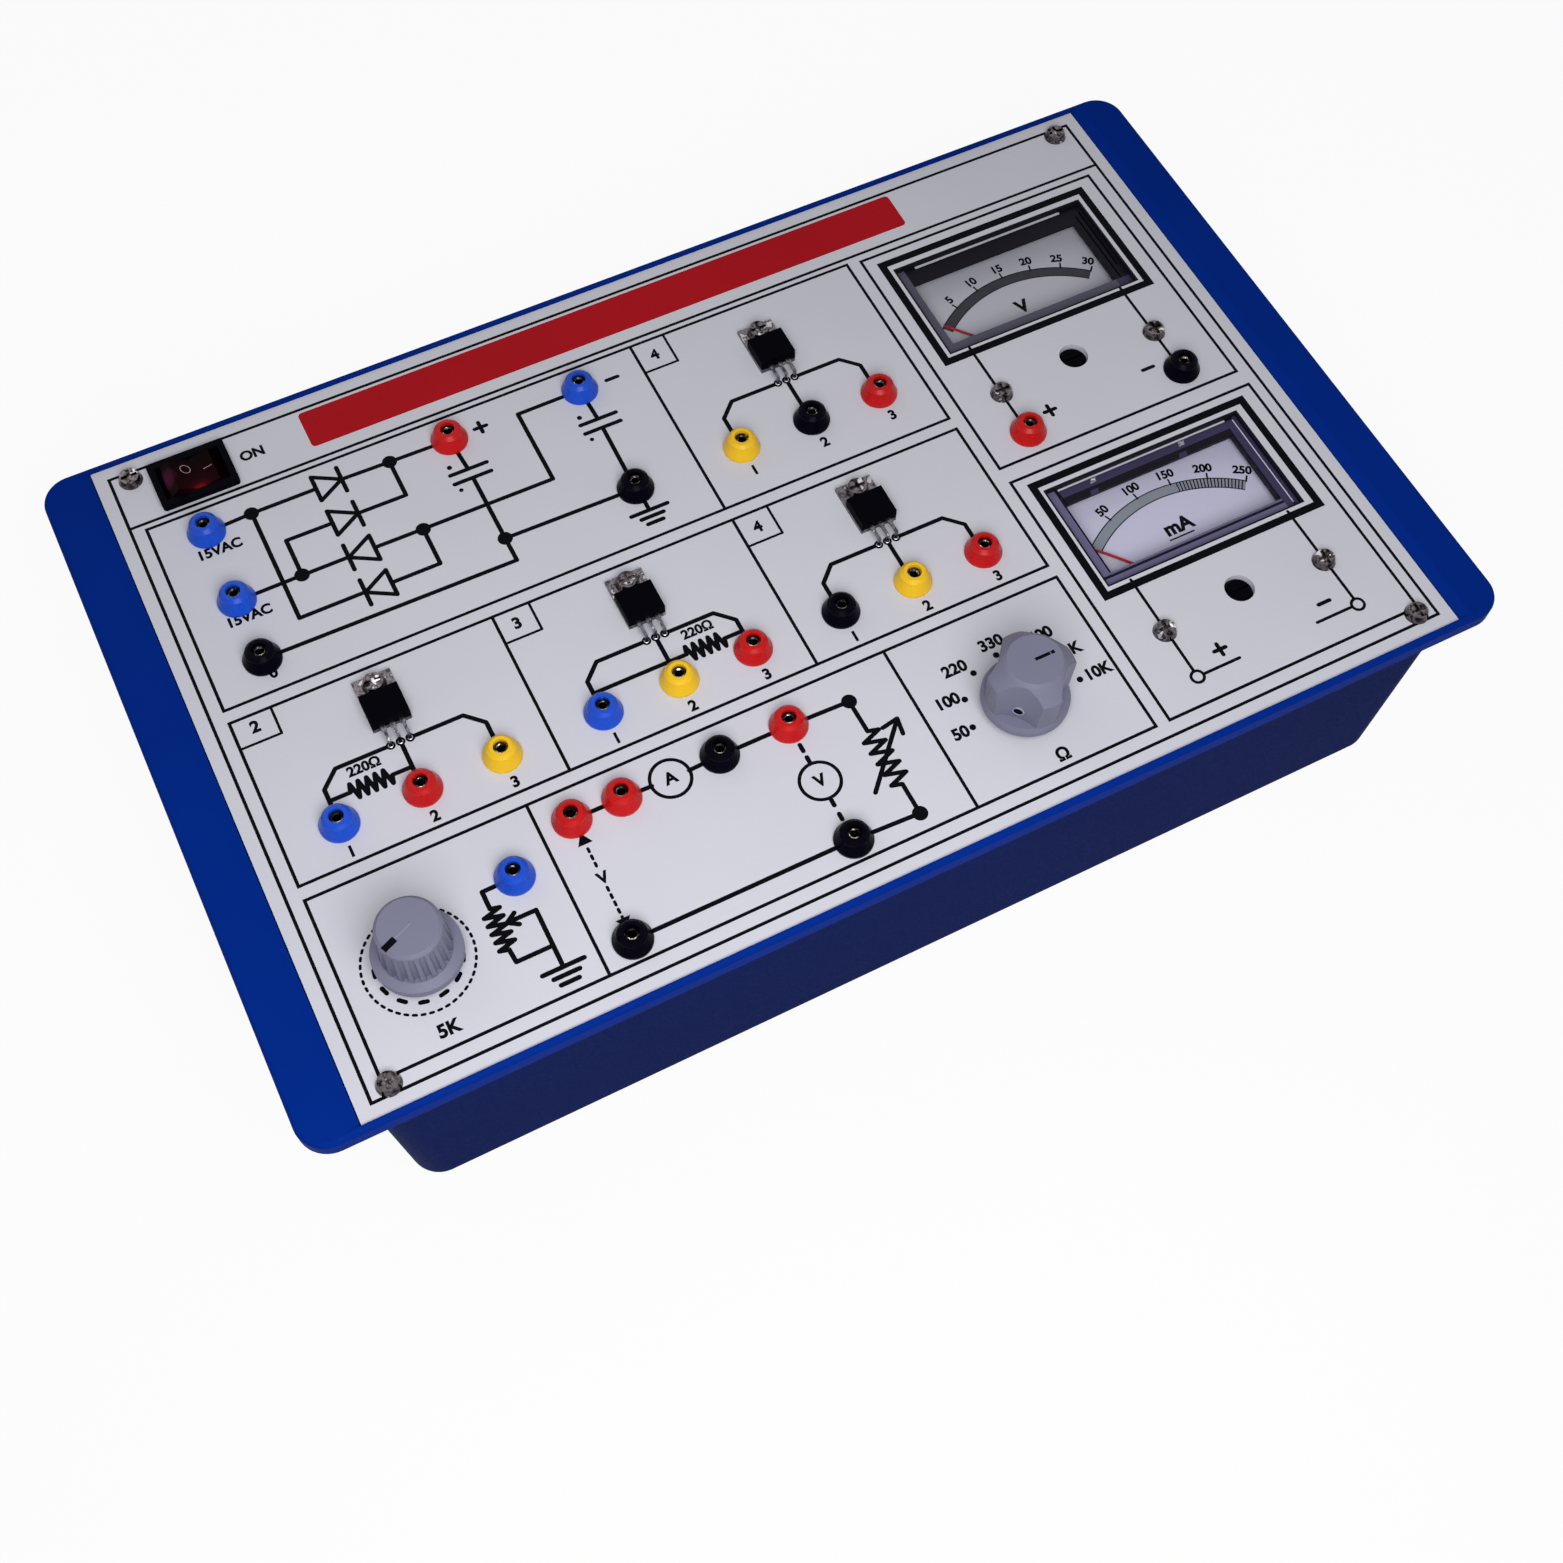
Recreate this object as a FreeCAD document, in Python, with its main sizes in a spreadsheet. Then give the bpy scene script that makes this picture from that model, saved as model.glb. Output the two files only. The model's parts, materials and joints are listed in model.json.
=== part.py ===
"""Bench trainer for fixed and adjustable voltage regulators, built as separate pieces.

Millimetres. The origin is on the bench under the middle of the box, +X runs along the long side
to the right, +Y to the back and +Z up. Places on the panel are taken from the panel's centre.
"""
import FreeCAD, Part
import os
import re
from math import radians
import Sketcher

# Driving sizes
SIZES = {
    # Feet and box
    "foot_height": 4,
    "foot_radius": 8,
    "foot_draft": 0.8,
    "foot_inset_x": 22.3,
    "foot_inset_y": 20.1,
    "body_height": 61,
    "box_wall": 2.5,
    "rim_inset_x": 11.6,
    "rim_inset_y": 1.3,
    "neck_step_x": 4.9,
    "neck_step_y": 0.2,
    "floor_draft_x": 3.2,
    "floor_draft_y": 0.4,
    "box_neck_drop": 5.4,
    "box_rim_drop": 1,
    "box_corner": 8,
    "box_bottom_round": 3.2,
    # Top cover
    "cover_flange_x": 14,
    "cover_flange_y": 2,
    "cover_rise": 0.8,
    "cover_corner": 8,
    "cover_round": 1.4,
    "cover_lip_width": 3,
    "ledge_thickness": 2.5,
    "ledge_width_x": 13,
    "ledge_width_y": 4.7,
    "cover_skirt": 2.4,
    "panel_gap_x": 0.3,
    "panel_gap_y": 0.3,
    # Front panel
    "panel_length": 300,
    "panel_thickness": 2,
    # Screws and nuts, three millimetre thread
    "thread_radius": 1.45,
    "screw_hole_radius": 1.6,
    "screw_head_radius": 3.2,
    "screw_head_height": 2,
    "screw_crown": 0.7,
    "cross_width": 0.9,
    "cross_length": 4.2,
    "cross_depth": 1.1,
    "nut_radius": 3.2,
    "nut_height": 2.4,
    "long_screw": 10,
    "short_screw": 8,
    "floor_screw": 5,
    "post_radius": 4,
    "cover_boss_height": 14,
    "corner_screw_inset_x": 9,
    "corner_screw_inset_y": 6.2,
    # Sockets for two millimetre plugs
    "socket_base_radius": 5,
    "socket_top_radius": 3.7,
    "socket_height": 5,
    "socket_collar": 0.8,
    "socket_flare": 3.8,
    "socket_edge": 0.9,
    "socket_neck_radius": 2.95,
    "socket_neck_length": 8,
    "socket_core_radius": 1.9,
    "socket_nut_radius": 4.4,
    "socket_nut_height": 2.2,
    "contact_radius": 1.85,
    "contact_bore_radius": 1.05,
    "contact_relief_radius": 1.3,
    "contact_bore_length": 4.2,
    "contact_mouth_radius": 1.6,
    "contact_mouth_depth": 0.5,
    "contact_sink": 1,
    "contact_depth": 12,
    "contact_plug": 2,
    "tag_length": 5,
    "tag_width": 2.4,
    "tag_thickness": 0.6,
    # Rocker switch
    "switch_length": 21,
    "switch_width": 15,
    "switch_rim": 1.8,
    "switch_corner": 1,
    "switch_body_length": 19,
    "switch_body_width": 12.8,
    "switch_depth": 15,
    "switch_well_length": 17.4,
    "switch_well_width": 10.9,
    "switch_floor": 1.5,
    "switch_side_gap": 1.7,
    "switch_end_gap": 1.2,
    "rocker_length": 15.6,
    "rocker_width": 10.3,
    "rocker_end_height": 4.2,
    "rocker_end_low": 1.3,
    "rocker_end_run": 2.4,
    "rocker_middle_height": 2.2,
    "rocker_shoulder": 0.6,
    "rocker_foot_half": 2.6,
    "rocker_foot_drop": 3.2,
    "rocker_pivot_drop": 1,
    "rocker_pin_radius": 1.2,
    "rocker_pin_reach": 6.2,
    "blade_width": 4.8,
    "blade_thickness": 0.8,
    "blade_length": 8,
    "blade_spacing": 6,
    "lamp_radius": 1.3,
    "lamp_length": 6,
    # Regulators in flat three-lead packages
    "tab_width": 10.2,
    "tab_length": 15,
    "tab_thickness": 1.3,
    "tab_hole_inset": 2.9,
    "package_length": 8.8,
    "package_thickness": 3.2,
    "lead_pitch": 2.54,
    "lead_width": 0.8,
    "lead_shoulder_width": 1.3,
    "lead_shoulder_length": 1.8,
    "lead_thickness": 0.5,
    "lead_level": 2.4,
    "lead_reach": 4.9,
    "lead_hole_radius": 0.75,
    "lead_tail": 5,
    # Shafts, shared by the two knobs
    "shaft_radius": 3,
    "shaft_gap": 0.05,
    # Potentiometer
    "pot_radius": 12,
    "pot_side_gap": 1.6,
    "pot_depth": 10,
    "pot_wall": 1.2,
    "pot_bush_radius": 3.5,
    "pot_bush_rise": 3.4,
    "pot_nut_radius": 5.6,
    "pot_nut_height": 2.2,
    "track_outer_radius": 10,
    "track_inner_radius": 7.4,
    "track_height": 1.4,
    "track_gap_width": 5,
    "wiper_width": 3,
    "wiper_thickness": 1.2,
    "wiper_gap": 0.3,
    "collar_radius": 4.6,
    "collar_height": 1.2,
    "collar_gap": 0.4,
    "pot_tag_spacing": 5,
    "pot_tag_length": 8,
    # Potentiometer knob
    "pot_knob_lift": 4,
    "pot_knob_height": 16.2,
    "pot_skirt_radius": 10.8,
    "pot_skirt_height": 2.4,
    "pot_grip_radius": 8.6,
    "pot_crown_radius": 7.8,
    "pot_flute_radius": 0.8,
    "pot_pointer_start": 3.9,
    "pot_pointer_length": 3.6,
    "pot_pointer_width": 1.7,
    # Load switch
    "load_radius": 13.5,
    "load_depth": 18,
    "load_wall": 1.5,
    "load_bush_radius": 4.5,
    "load_bush_rise": 3.3,
    "load_nut_radius": 6.8,
    "load_nut_height": 2.2,
    "rotor_radius": 6,
    "rotor_height": 3,
    "rotor_gap": 0.4,
    "rotor_arm": 10.5,
    "rotor_arm_width": 2.4,
    "load_tag_radius": 0.7,
    "load_tag_circle": 10,
    "load_tag_length": 9,
    "load_tag_rise": 2,
    "resistor_radius": 1.7,
    "resistor_length": 8,
    "resistor_lead_radius": 0.35,
    "resistor_lead_length": 5,
    "sense_offset": 3,
    "load_board_radius": 14,
    "load_board_thickness": 1.6,
    # Load knob
    "load_knob_lift": 3.7,
    "load_knob_height": 18.6,
    "load_skirt_radius": 11.2,
    "load_skirt_height": 1.6,
    "load_dome_height": 3,
    "load_dome_radius": 10.6,
    "load_grip_radius": 11.1,
    "load_waist_height": 13.5,
    "load_crown_radius": 6.9,
    "load_scallop_radius": 12,
    "load_scallop_circle": 19.9,
    "load_pointer_length": 5.4,
    "load_pointer_width": 0.9,
    "pointer_depth": 0.3,
    "knob_edge": 0.8,
    "knob_cap": 2,
    "grub_radius": 1.4,
    "grub_length": 2.6,
    "grub_level": 6.4,
    # Panel meters
    "meter_window_length": 61,
    "meter_window_width": 33.5,
    "meter_lip_x": 2,
    "meter_lip_y": 3.75,
    "view_inset_x": 3.8,
    "view_inset_y": 4.75,
    "pivot_gap": 15.25,
    "meter_screw_gap": 17.85,
    "meter_screw_inset": 8.1,
    "meter_tail_gap": 8.9,
    "meter_wall": 2,
    "meter_depth": 22.5,
    "meter_side_gap": 0.3,
    "meter_head_gap": 26.5,
    "meter_socket_gap": 1.1,
    "meter_row_gap": 10.2,
    "meter_foot_gap": 21.4,
    "meter_cover_thickness": 1.5,
    "meter_bezel_thickness": 1.3,
    "glass_gap": 0.1,
    "meter_boss_radius": 3.6,
    "dial_thickness": 0.8,
    "dial_gap_x": 0.5,
    "dial_gap_y": 2.5,
    "dial_drop": 3.8,
    "dial_post_radius": 2.2,
    "dial_post_inset": 4,
    "zero_hole_radius": 4,
    "zero_shank_radius": 2.2,
    "zero_head_radius": 3.1,
    "zero_head_height": 1,
    "zero_shank_length": 1.8,
    "zero_slot_width": 0.8,
    "zero_slot_depth": 0.5,
    # Meter movements
    "yoke_length": 28,
    "yoke_width": 17,
    "yoke_height": 10,
    "yoke_lift": 3,
    "yoke_bore_radius": 7.2,
    "core_radius": 5,
    "web_width": 2.4,
    "coil_inner_radius": 5.5,
    "coil_outer_radius": 6.7,
    "coil_width": 2.4,
    "coil_gap": 0.5,
    "coil_bar": 0.9,
    "spindle_radius": 0.5,
    "spindle_gap": 0.06,
    "jewel_radius": 1.6,
    "jewel_height": 1.2,
    "bridge_thickness": 0.8,
    "bridge_width": 4,
    "bridge_foot": 4,
    "needle_reach": 4.6,
    "needle_tail": 8,
    "needle_width": 0.7,
    "needle_thickness": 0.3,
    "needle_hub_radius": 1.5,
    "needle_hub_height": 0.9,
    "needle_over_dial": 0.9,
    "stud_radius": 1.5,
    "stud_length": 9,
    "stud_nut_radius": 3,
    "stud_spacing": 30,
    "stud_drop": 19,
    "stud_nut_height": 1.6,
    # Transformer
    "core_length": 48,
    "core_width": 17,
    "core_height": 40,
    "core_window_length": 8,
    "core_window_height": 24,
    "core_leg": 16,
    "winding_width": 32,
    "winding_gap": 0.2,
    "strap_thickness": 1,
    "strap_foot": 13,
    "strap_post_height": 4,
    "strap_gap": 4,
    # Circuit board
    "board_length": 84,
    "board_width": 56,
    "board_thickness": 1.6,
    "board_inset": 5,
    "board_post_height": 6,
    "diode_radius": 1.4,
    "diode_length": 5.2,
    "diode_lead_reach": 2.6,
    "diode_lift": 0.4,
    "diode_spacing": 7,
    "capacitor_radius": 6.3,
    "capacitor_height": 25,
    "capacitor_spacing": 16,
    # Mains inlet with its fuse drawer
    "inlet_length": 31,
    "inlet_height": 34,
    "inlet_flange": 1.5,
    "inlet_flange_corner": 2,
    "inlet_body_length": 27.2,
    "inlet_body_height": 29.4,
    "inlet_depth": 21,
    "inlet_sink": 0.05,
    "inlet_level": 32,
    "inlet_well_length": 24.4,
    "inlet_well_height": 16.6,
    "inlet_well_depth": 17,
    "inlet_well_drop": 4.6,
    "inlet_latch": 0.7,
    "inlet_latch_width": 1.4,
    "wall_grip": 0.3,
    "pin_width": 4,
    "pin_thickness": 2,
    "pin_length": 15.5,
    "pin_root": 9,
    "pin_spacing": 14,
    "pin_stagger": 4,
    "drawer_length": 24.4,
    "drawer_height": 7,
    "drawer_gap": 0.3,
    "drawer_rise": 9.2,
    "drawer_wall": 0.9,
    "drawer_depth": 11,
    "drawer_face": 2.6,
    "fuse_radius": 2.5,
    "fuse_length": 20,
    "fuse_cap_length": 5,
    "fuse_glass_inset": 0.15,
    # Working clearances
    "fit_gap": 0.2,
    "hole_gap": 0.15,
    "overrun": 1,
}

# Levels and places that follow from them
DERIVED = {
    "panel_top": "foot_height + body_height",
    "panel_bottom": "panel_top - panel_thickness",
    "rim_top": "panel_bottom - ledge_thickness",
    "floor_top": "foot_height + box_wall",
    "meter_length": "meter_window_length + 2 * meter_lip_x",
    "meter_head": "meter_window_width / 2 + meter_lip_y",
    "meter_pivot_drop": "meter_window_width / 2 + pivot_gap",
    "meter_screw_drop": "meter_window_width / 2 + meter_screw_gap",
    "meter_tail": "meter_screw_drop + meter_tail_gap",
    "meter_width": "meter_head + meter_tail",
    "meter_screw_spacing": "meter_length - 2 * meter_screw_inset",
    "meter_view_length": "meter_window_length - 2 * view_inset_x",
    "meter_view_width": "meter_window_width - 2 * view_inset_y",
    "dial_length": "meter_length - 2 * meter_wall - 2 * dial_gap_x",
    "dial_width": "2 * (meter_head - meter_wall - dial_gap_y)",
    "needle_length": "meter_pivot_drop + needle_reach",
    "panel_width": "2 * meter_width + 2 * socket_nut_radius + meter_head_gap + meter_socket_gap + "
                   "meter_row_gap + meter_foot_gap",
    "cover_length": "panel_length + 2 * cover_flange_x",
    "cover_width": "panel_width + 2 * cover_flange_y",
    "box_rim_length": "cover_length - 2 * rim_inset_x",
    "box_rim_width": "cover_width - 2 * rim_inset_y",
    "box_neck_length": "box_rim_length - 2 * neck_step_x",
    "box_neck_width": "box_rim_width - 2 * neck_step_y",
    "box_floor_length": "box_neck_length - 2 * floor_draft_x",
    "box_floor_width": "box_neck_width - 2 * floor_draft_y",
    "mouth_x": "panel_length / 2 - ledge_width_x",
    "mouth_y": "panel_width / 2 - ledge_width_y",
    "switch_x": "switch_side_gap + switch_body_length / 2 - mouth_x",
    "switch_y": "mouth_y - switch_end_gap - switch_body_width / 2",
    "pot_x": "pot_side_gap + pot_radius - mouth_x",
    "meter_x": "mouth_x - meter_side_gap - meter_length / 2",
    "voltmeter_y": "panel_width / 2 - meter_head_gap - meter_head",
    "meter_socket_y": "voltmeter_y - meter_tail - meter_socket_gap - socket_nut_radius",
    "ammeter_y": "meter_socket_y - socket_nut_radius - meter_row_gap - meter_head",
    "corner_screw_x": "panel_length / 2 - corner_screw_inset_x",
    "corner_screw_y": "panel_width / 2 - corner_screw_inset_y",
    "foot_x": "box_floor_length / 2 - foot_inset_x",
    "foot_y": "box_floor_width / 2 - foot_inset_y",
    "socket_bore_bottom": "socket_height - contact_sink - contact_bore_length",
    "pivot_level": "panel_top - rocker_pivot_drop",
    "pot_bottom": "panel_bottom - pot_depth",
    "pot_knob_bottom": "panel_top + pot_knob_lift",
    "load_bottom": "panel_bottom - load_depth",
    "load_knob_bottom": "panel_top + load_knob_lift",
    "meter_rim": "panel_bottom - meter_cover_thickness",
    "meter_floor": "meter_rim - meter_depth",
    "dial_top": "meter_rim - dial_drop",
    "yoke_bottom": "meter_floor + meter_wall + yoke_lift",
    "yoke_top": "yoke_bottom + yoke_height",
    "spindle_bottom": "meter_floor + meter_wall + jewel_height / 2",
    "needle_level": "dial_top + needle_over_dial",
    "board_bottom": "floor_top + board_post_height",
    "board_top": "board_bottom + board_thickness",
    "post_x": "core_length / 2 + strap_thickness + strap_foot / 2",
    "tag_bottom": "load_bottom + load_wall + load_tag_rise - load_tag_length",
    "resistor_span": "resistor_length + 2 * resistor_lead_length",
    "load_board_top": "tag_bottom - resistor_span",
    "inlet_seat": "box_neck_width / 2 - inlet_sink",
    "inlet_face": "inlet_seat + inlet_flange",
    "switch_floor_top": "panel_top - switch_depth + switch_floor",
    "tab_front": "lead_reach",
    "tab_screw": "tab_front + tab_length - tab_hole_inset",
}

# Places on the panel, as shares of its length and width from its centre, or as formulas
SWITCH_SHARE = ("switch_x", "switch_y")
POT_SHARE = ("pot_x", -0.3423)
LOAD_SHARE = (0.1215, -0.358)
METER_SHARES = {"voltmeter": ("meter_x", "voltmeter_y"), "ammeter": ("meter_x", "ammeter_y")}
REGULATOR_SHARES = (
    (0.0967, 0.2352),
    (-0.3547, -0.0597),
    (-0.1253, -0.0622),
    (0.0967, -0.0628),
)
SOCKET_SHARES = {
    "blue_sockets": (
        (-0.4287, 0.3439), (-0.4287, 0.2255), (-0.0767, 0.3439),
        (-0.426, -0.1342), (-0.1947, -0.1342), (-0.3187, -0.2934),
    ),
    "red_sockets": (
        (-0.2033, 0.3439), (0.1653, 0.1582), (-0.3547, -0.1342),
        (-0.0567, -0.1342), (0.166, -0.1342), (-0.258, -0.2541),
        (-0.214, -0.2541), (-0.063, -0.2541),
        ("meter_x - meter_screw_spacing / 2", "meter_socket_y"),
    ),
    "yellow_sockets": (
        (0.0267, 0.1582), (-0.285, -0.1342), (-0.1253, -0.1342), (0.0967, -0.1342),
    ),
    "black_sockets": (
        (-0.4287, 0.1286), (-0.0767, 0.1602), (0.0967, 0.1582),
        (0.0267, -0.1342), (-0.126, -0.2541), (-0.2575, -0.4311),
        (-0.063, -0.4311), ("meter_x + meter_screw_spacing / 2", "meter_socket_y"),
    ),
}
# Places on the floor of the box, as shares of the panel's length and width, or as formulas
BOARD_SHARE = (0.0733, 0.2296)
TRANSFORMER_SHARE = (
    f"panel_length * {BOARD_SHARE[0]} - board_length / 2 - strap_gap - post_x - strap_foot / 2",
    0.2143,
)
INLET_SHARE = -0.25

# Counts and angles of the real thing
POT_FLUTES = 20
LOAD_SCALLOPS = 4
LOAD_STEP = 30
LOAD_POSITIONS = 7
GRUB_ANGLES = {"pot": 23, "load": 222}
NEEDLE_REST = 40
ROCKER_TILT = 8
POT_POINTER_ANGLE = 203
LOAD_SCALLOP_ANGLE = 42

# Pairs of sockets that a resistor joins: list, place, list, place
SENSE_PAIRS = (("blue_sockets", 3, "red_sockets", 2), ("blue_sockets", 4, "red_sockets", 3))

# The circuit board's four screws, from its middle
BOARD_CORNERS = [
    (f"{a}(board_length / 2 - board_inset)", f"{b}(board_width / 2 - board_inset)")
    for a in ("", "-") for b in ("", "-")
]

doc = FreeCAD.newDocument("regulator_trainer")
sheet = doc.addObject("Spreadsheet::Sheet", "dim")
for row, (alias, amount) in enumerate(SIZES.items(), 1):
    sheet.set(f"A{row}", alias)
    sheet.set(f"B{row}", str(amount))
    sheet.setAlias(f"B{row}", alias)
doc.recompute()

X_AXIS = FreeCAD.Vector(1, 0, 0)
Y_AXIS = FreeCAD.Vector(0, 1, 0)
Z_AXIS = FreeCAD.Vector(0, 0, 1)
TURNS = {"X": (Y_AXIS, 90), "Y": (X_AXIS, -90), "Z": (Z_AXIS, 0)}
NODES = []


def formula(text):
    """Writes a sum of named sizes as an expression on the sheet."""
    words = re.split(r"([A-Za-z_]\w*)", text)
    for place, word in enumerate(words):
        if word in SIZES:
            words[place] = f"dim.{word}"
        elif word in DERIVED:
            words[place] = f"({formula(DERIVED[word])})"
    return "".join(words)


def number(text):
    """The value of a sum of named sizes."""
    return float(sheet.evalExpression(formula(text)))


def put(piece, x="0", y="0", z="0", turn=None):
    """Turns a piece about an axis, then moves it to a place worked out from the sheet."""
    if turn:
        piece.Placement = FreeCAD.Placement(FreeCAD.Vector(), FreeCAD.Rotation(*turn))
    for axis, text in zip("xyz", (x, y, z)):
        piece.setExpression(f"Placement.Base.{axis}", formula(text))
    return piece


def make(kind, name, **sizes):
    """Adds an object and binds its sizes to the sheet."""
    piece = doc.addObject(kind, name)
    for prop, text in sizes.items():
        piece.setExpression(prop, formula(text))
    return piece


def block(name, length, width, height, x="0", y="0", z="0"):
    """A box, centred on x and y and standing on z."""
    piece = make("Part::Box", name, Length=length, Width=width, Height=height)
    return put(piece, f"{x} - ({length}) / 2", f"{y} - ({width}) / 2", z)


def rod(name, radius, length, x="0", y="0", z="0", along="Z"):
    """A round bar that starts at a place and runs along an axis."""
    piece = make("Part::Cylinder", name, Radius=radius, Height=length)
    return put(piece, x, y, z, TURNS[along])


def cone(name, low, high, height, x="0", y="0", z="0"):
    """A round taper on Z."""
    piece = make("Part::Cone", name, Radius1=low, Radius2=high, Height=height)
    return put(piece, x, y, z)


def hexagon(name, radius, height, x="0", y="0", z="0"):
    """A six-sided bar on Z, sized over its corners."""
    piece = make("Part::Prism", name, Circumradius=radius, Height=height)
    piece.Polygon = 6
    return put(piece, x, y, z)


def join(name, pieces):
    """Fuses pieces into one solid."""
    piece = doc.addObject("Part::MultiFuse", name)
    piece.Shapes = pieces
    piece.Refine = True
    return piece


def group(name, pieces):
    """Keeps pieces together as separate solids."""
    piece = doc.addObject("Part::Compound", name)
    piece.Links = pieces
    return piece


def cut(name, base, tools):
    """Takes tools out of a base."""
    piece = doc.addObject("Part::Cut", name)
    piece.Base = base
    piece.Tool = tools[0] if len(tools) == 1 else join(f"{name}_tools", tools)
    return piece


def copy(name, model, x="0", y="0", z="0", turn=None):
    """One more of a piece, turned about its origin and moved."""
    piece = doc.addObject("App::Link", name)
    piece.LinkedObject = model
    piece.LinkTransform = True
    return put(piece, x, y, z, turn)


def ring_of(name, model, count):
    """Copies of a piece, spaced evenly about the Z axis."""
    step = 360 / count
    turned = [copy(f"{name}_{k}", model, turn=(Z_AXIS, k * step)) for k in range(count)]
    return group(name, turned)


def fillet(name, base, wanted, radius):
    """Rounds the edges of a piece that a test picks."""
    doc.recompute()
    piece = doc.addObject("Part::Fillet", name)
    piece.Base = base
    size = number(radius)
    picked = [k for k, edge in enumerate(base.Shape.Edges, 1) if wanted(edge)]
    piece.Edges = [(k, size, size) for k in picked]
    return piece


def upright(edge):
    """Whether an edge climbs more than it runs."""
    box = edge.BoundBox
    return box.ZLength > max(box.XLength, box.YLength)


def slab(name, length, width, height, corner, x="0", y="0", z="0"):
    """A plate with rounded corners, centred on x and y and standing on z."""
    plain = block(f"{name}_plain", length, width, height, x, y, z)
    return fillet(name, plain, upright, corner)


def on_panel(place):
    """The x and y of a place on the panel, from two shares of its size or formulas."""
    x, y = [part if isinstance(part, str) else f"{size} * ({part})"
            for part, size in zip(place, ("panel_length", "panel_width"))]
    return f"({x})", f"({y})"


def node(name, piece):
    """Names a finished sub-part."""
    piece.Label = name
    NODES.append(piece)
    return piece


def new_sketch(body, name, plane="XY_Plane", level="0"):
    """A sketch on one of the body's own planes."""
    sketch = body.newObject("Sketcher::SketchObject", name)
    base = next(item for item in body.Origin.OriginFeatures if item.Role == plane)
    sketch.AttachmentSupport = [(base, "")]
    sketch.MapMode = "FlatFace"
    sketch.setExpression("AttachmentOffset.Base.z", formula(level))
    return sketch


def pin_down(sketch, index, vertex, x, y):
    """Holds a sketch point at a place bound to the sheet."""
    for kind, axis, text in (("DistanceX", -2, x), ("DistanceY", -1, y)):
        if text == "0":
            sketch.addConstraint(Sketcher.Constraint("PointOnObject", index, vertex, axis))
            continue
        held = sketch.addConstraint(Sketcher.Constraint(kind, -1, 1, index, vertex, number(text)))
        sketch.setExpression(f"Constraints[{held}]", formula(text))


def draw_outline(sketch, points):
    """A closed outline of straight lines through named points."""
    spots = [FreeCAD.Vector(number(x), number(y), 0) for x, y in points]
    first = sketch.GeometryCount
    for start, end in zip(spots, spots[1:] + spots[:1]):
        sketch.addGeometry(Part.LineSegment(start, end))
    count = len(spots)
    for k in range(count):
        after = first + (k + 1) % count
        sketch.addConstraint(Sketcher.Constraint("Coincident", first + k, 2, after, 1))
    for k, (x, y) in enumerate(points):
        pin_down(sketch, first + k, 1, x, y)


def draw_rectangle(sketch, length, width, x="0", y="0"):
    """A rectangle about a centre."""
    left, right = (f"{x} {sign} ({length}) / 2" for sign in "-+")
    near, far = (f"{y} {sign} ({width}) / 2" for sign in "-+")
    draw_outline(sketch, ((left, near), (right, near), (right, far), (left, far)))


def draw_circle(sketch, x, y, radius):
    """A circle about a named place."""
    centre = FreeCAD.Vector(number(x), number(y), 0)
    index = sketch.addGeometry(Part.Circle(centre, Z_AXIS, number(radius)))
    pin_down(sketch, index, 3, x, y)
    held = sketch.addConstraint(Sketcher.Constraint("Radius", index, number(radius)))
    sketch.setExpression(f"Constraints[{held}]", formula(radius))


def turned_body(name, points):
    """A body turned about Z from an outline of radius and height."""
    body = doc.addObject("PartDesign::Body", name)
    sketch = new_sketch(body, f"{name}_profile", "XZ_Plane")
    draw_outline(sketch, points)
    turned = body.newObject("PartDesign::Revolution", f"{name}_turn")
    turned.Profile = sketch
    turned.ReferenceAxis = (sketch, ["V_Axis"])
    turned.Angle = 360
    sketch.Visibility = False
    return body


def pad(body, name, sketch, length):
    """A pad of a sketch."""
    feature = body.newObject("PartDesign::Pad", name)
    feature.Profile = sketch
    feature.setExpression("Length", formula(length))
    doc.recompute()
    return feature


def pocket(body, name, sketch, depth=None):
    """A pocket down from a sketch, through everything when no depth is given."""
    before = body.Shape.Volume
    feature = body.newObject("PartDesign::Pocket", name)
    feature.Profile = sketch
    if depth:
        feature.setExpression("Length", formula(depth))
    else:
        feature.Type = "ThroughAll"
    doc.recompute()
    if body.Shape.Volume >= before:
        raise ValueError(f"{name} cuts nothing")
    return feature


def round_edges(body, name, wanted, radius):
    """Rounds the edges of a body that a test picks."""
    before = body.Tip
    picked = [f"Edge{k}" for k, edge in enumerate(body.Shape.Edges, 1) if wanted(edge)]
    feature = body.newObject("PartDesign::Fillet", name)
    feature.Base = (before, picked)
    feature.setExpression("Radius", formula(radius))
    doc.recompute()


def slope_edges(body, name, wanted, across, down):
    """Bevels the edges of a body that a test picks, by two distances."""
    before = body.Tip
    picked = [f"Edge{k}" for k, edge in enumerate(body.Shape.Edges, 1) if wanted(edge)]
    feature = body.newObject("PartDesign::Chamfer", name)
    feature.Base = (before, picked)
    feature.ChamferType = "Two distances"
    feature.setExpression("Size", formula(across))
    feature.setExpression("Size2", formula(down))
    doc.recompute()


def pan_screw(name, length):
    """A pan head screw with a cross recess, its head's seat at the origin."""
    head = cone(f"{name}_head", "screw_head_radius", "screw_head_radius - screw_crown",
                "screw_head_height")
    shank = rod(f"{name}_shank", "thread_radius", length, z=f"-({length})")
    recess = [
        block(f"{name}_slot_{k}", *sides, "cross_depth + overrun",
              z="screw_head_height - cross_depth")
        for k, sides in enumerate((("cross_length", "cross_width"), ("cross_width", "cross_length")))
    ]
    return cut(name, join(f"{name}_blank", [head, shank]), recess)


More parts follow.
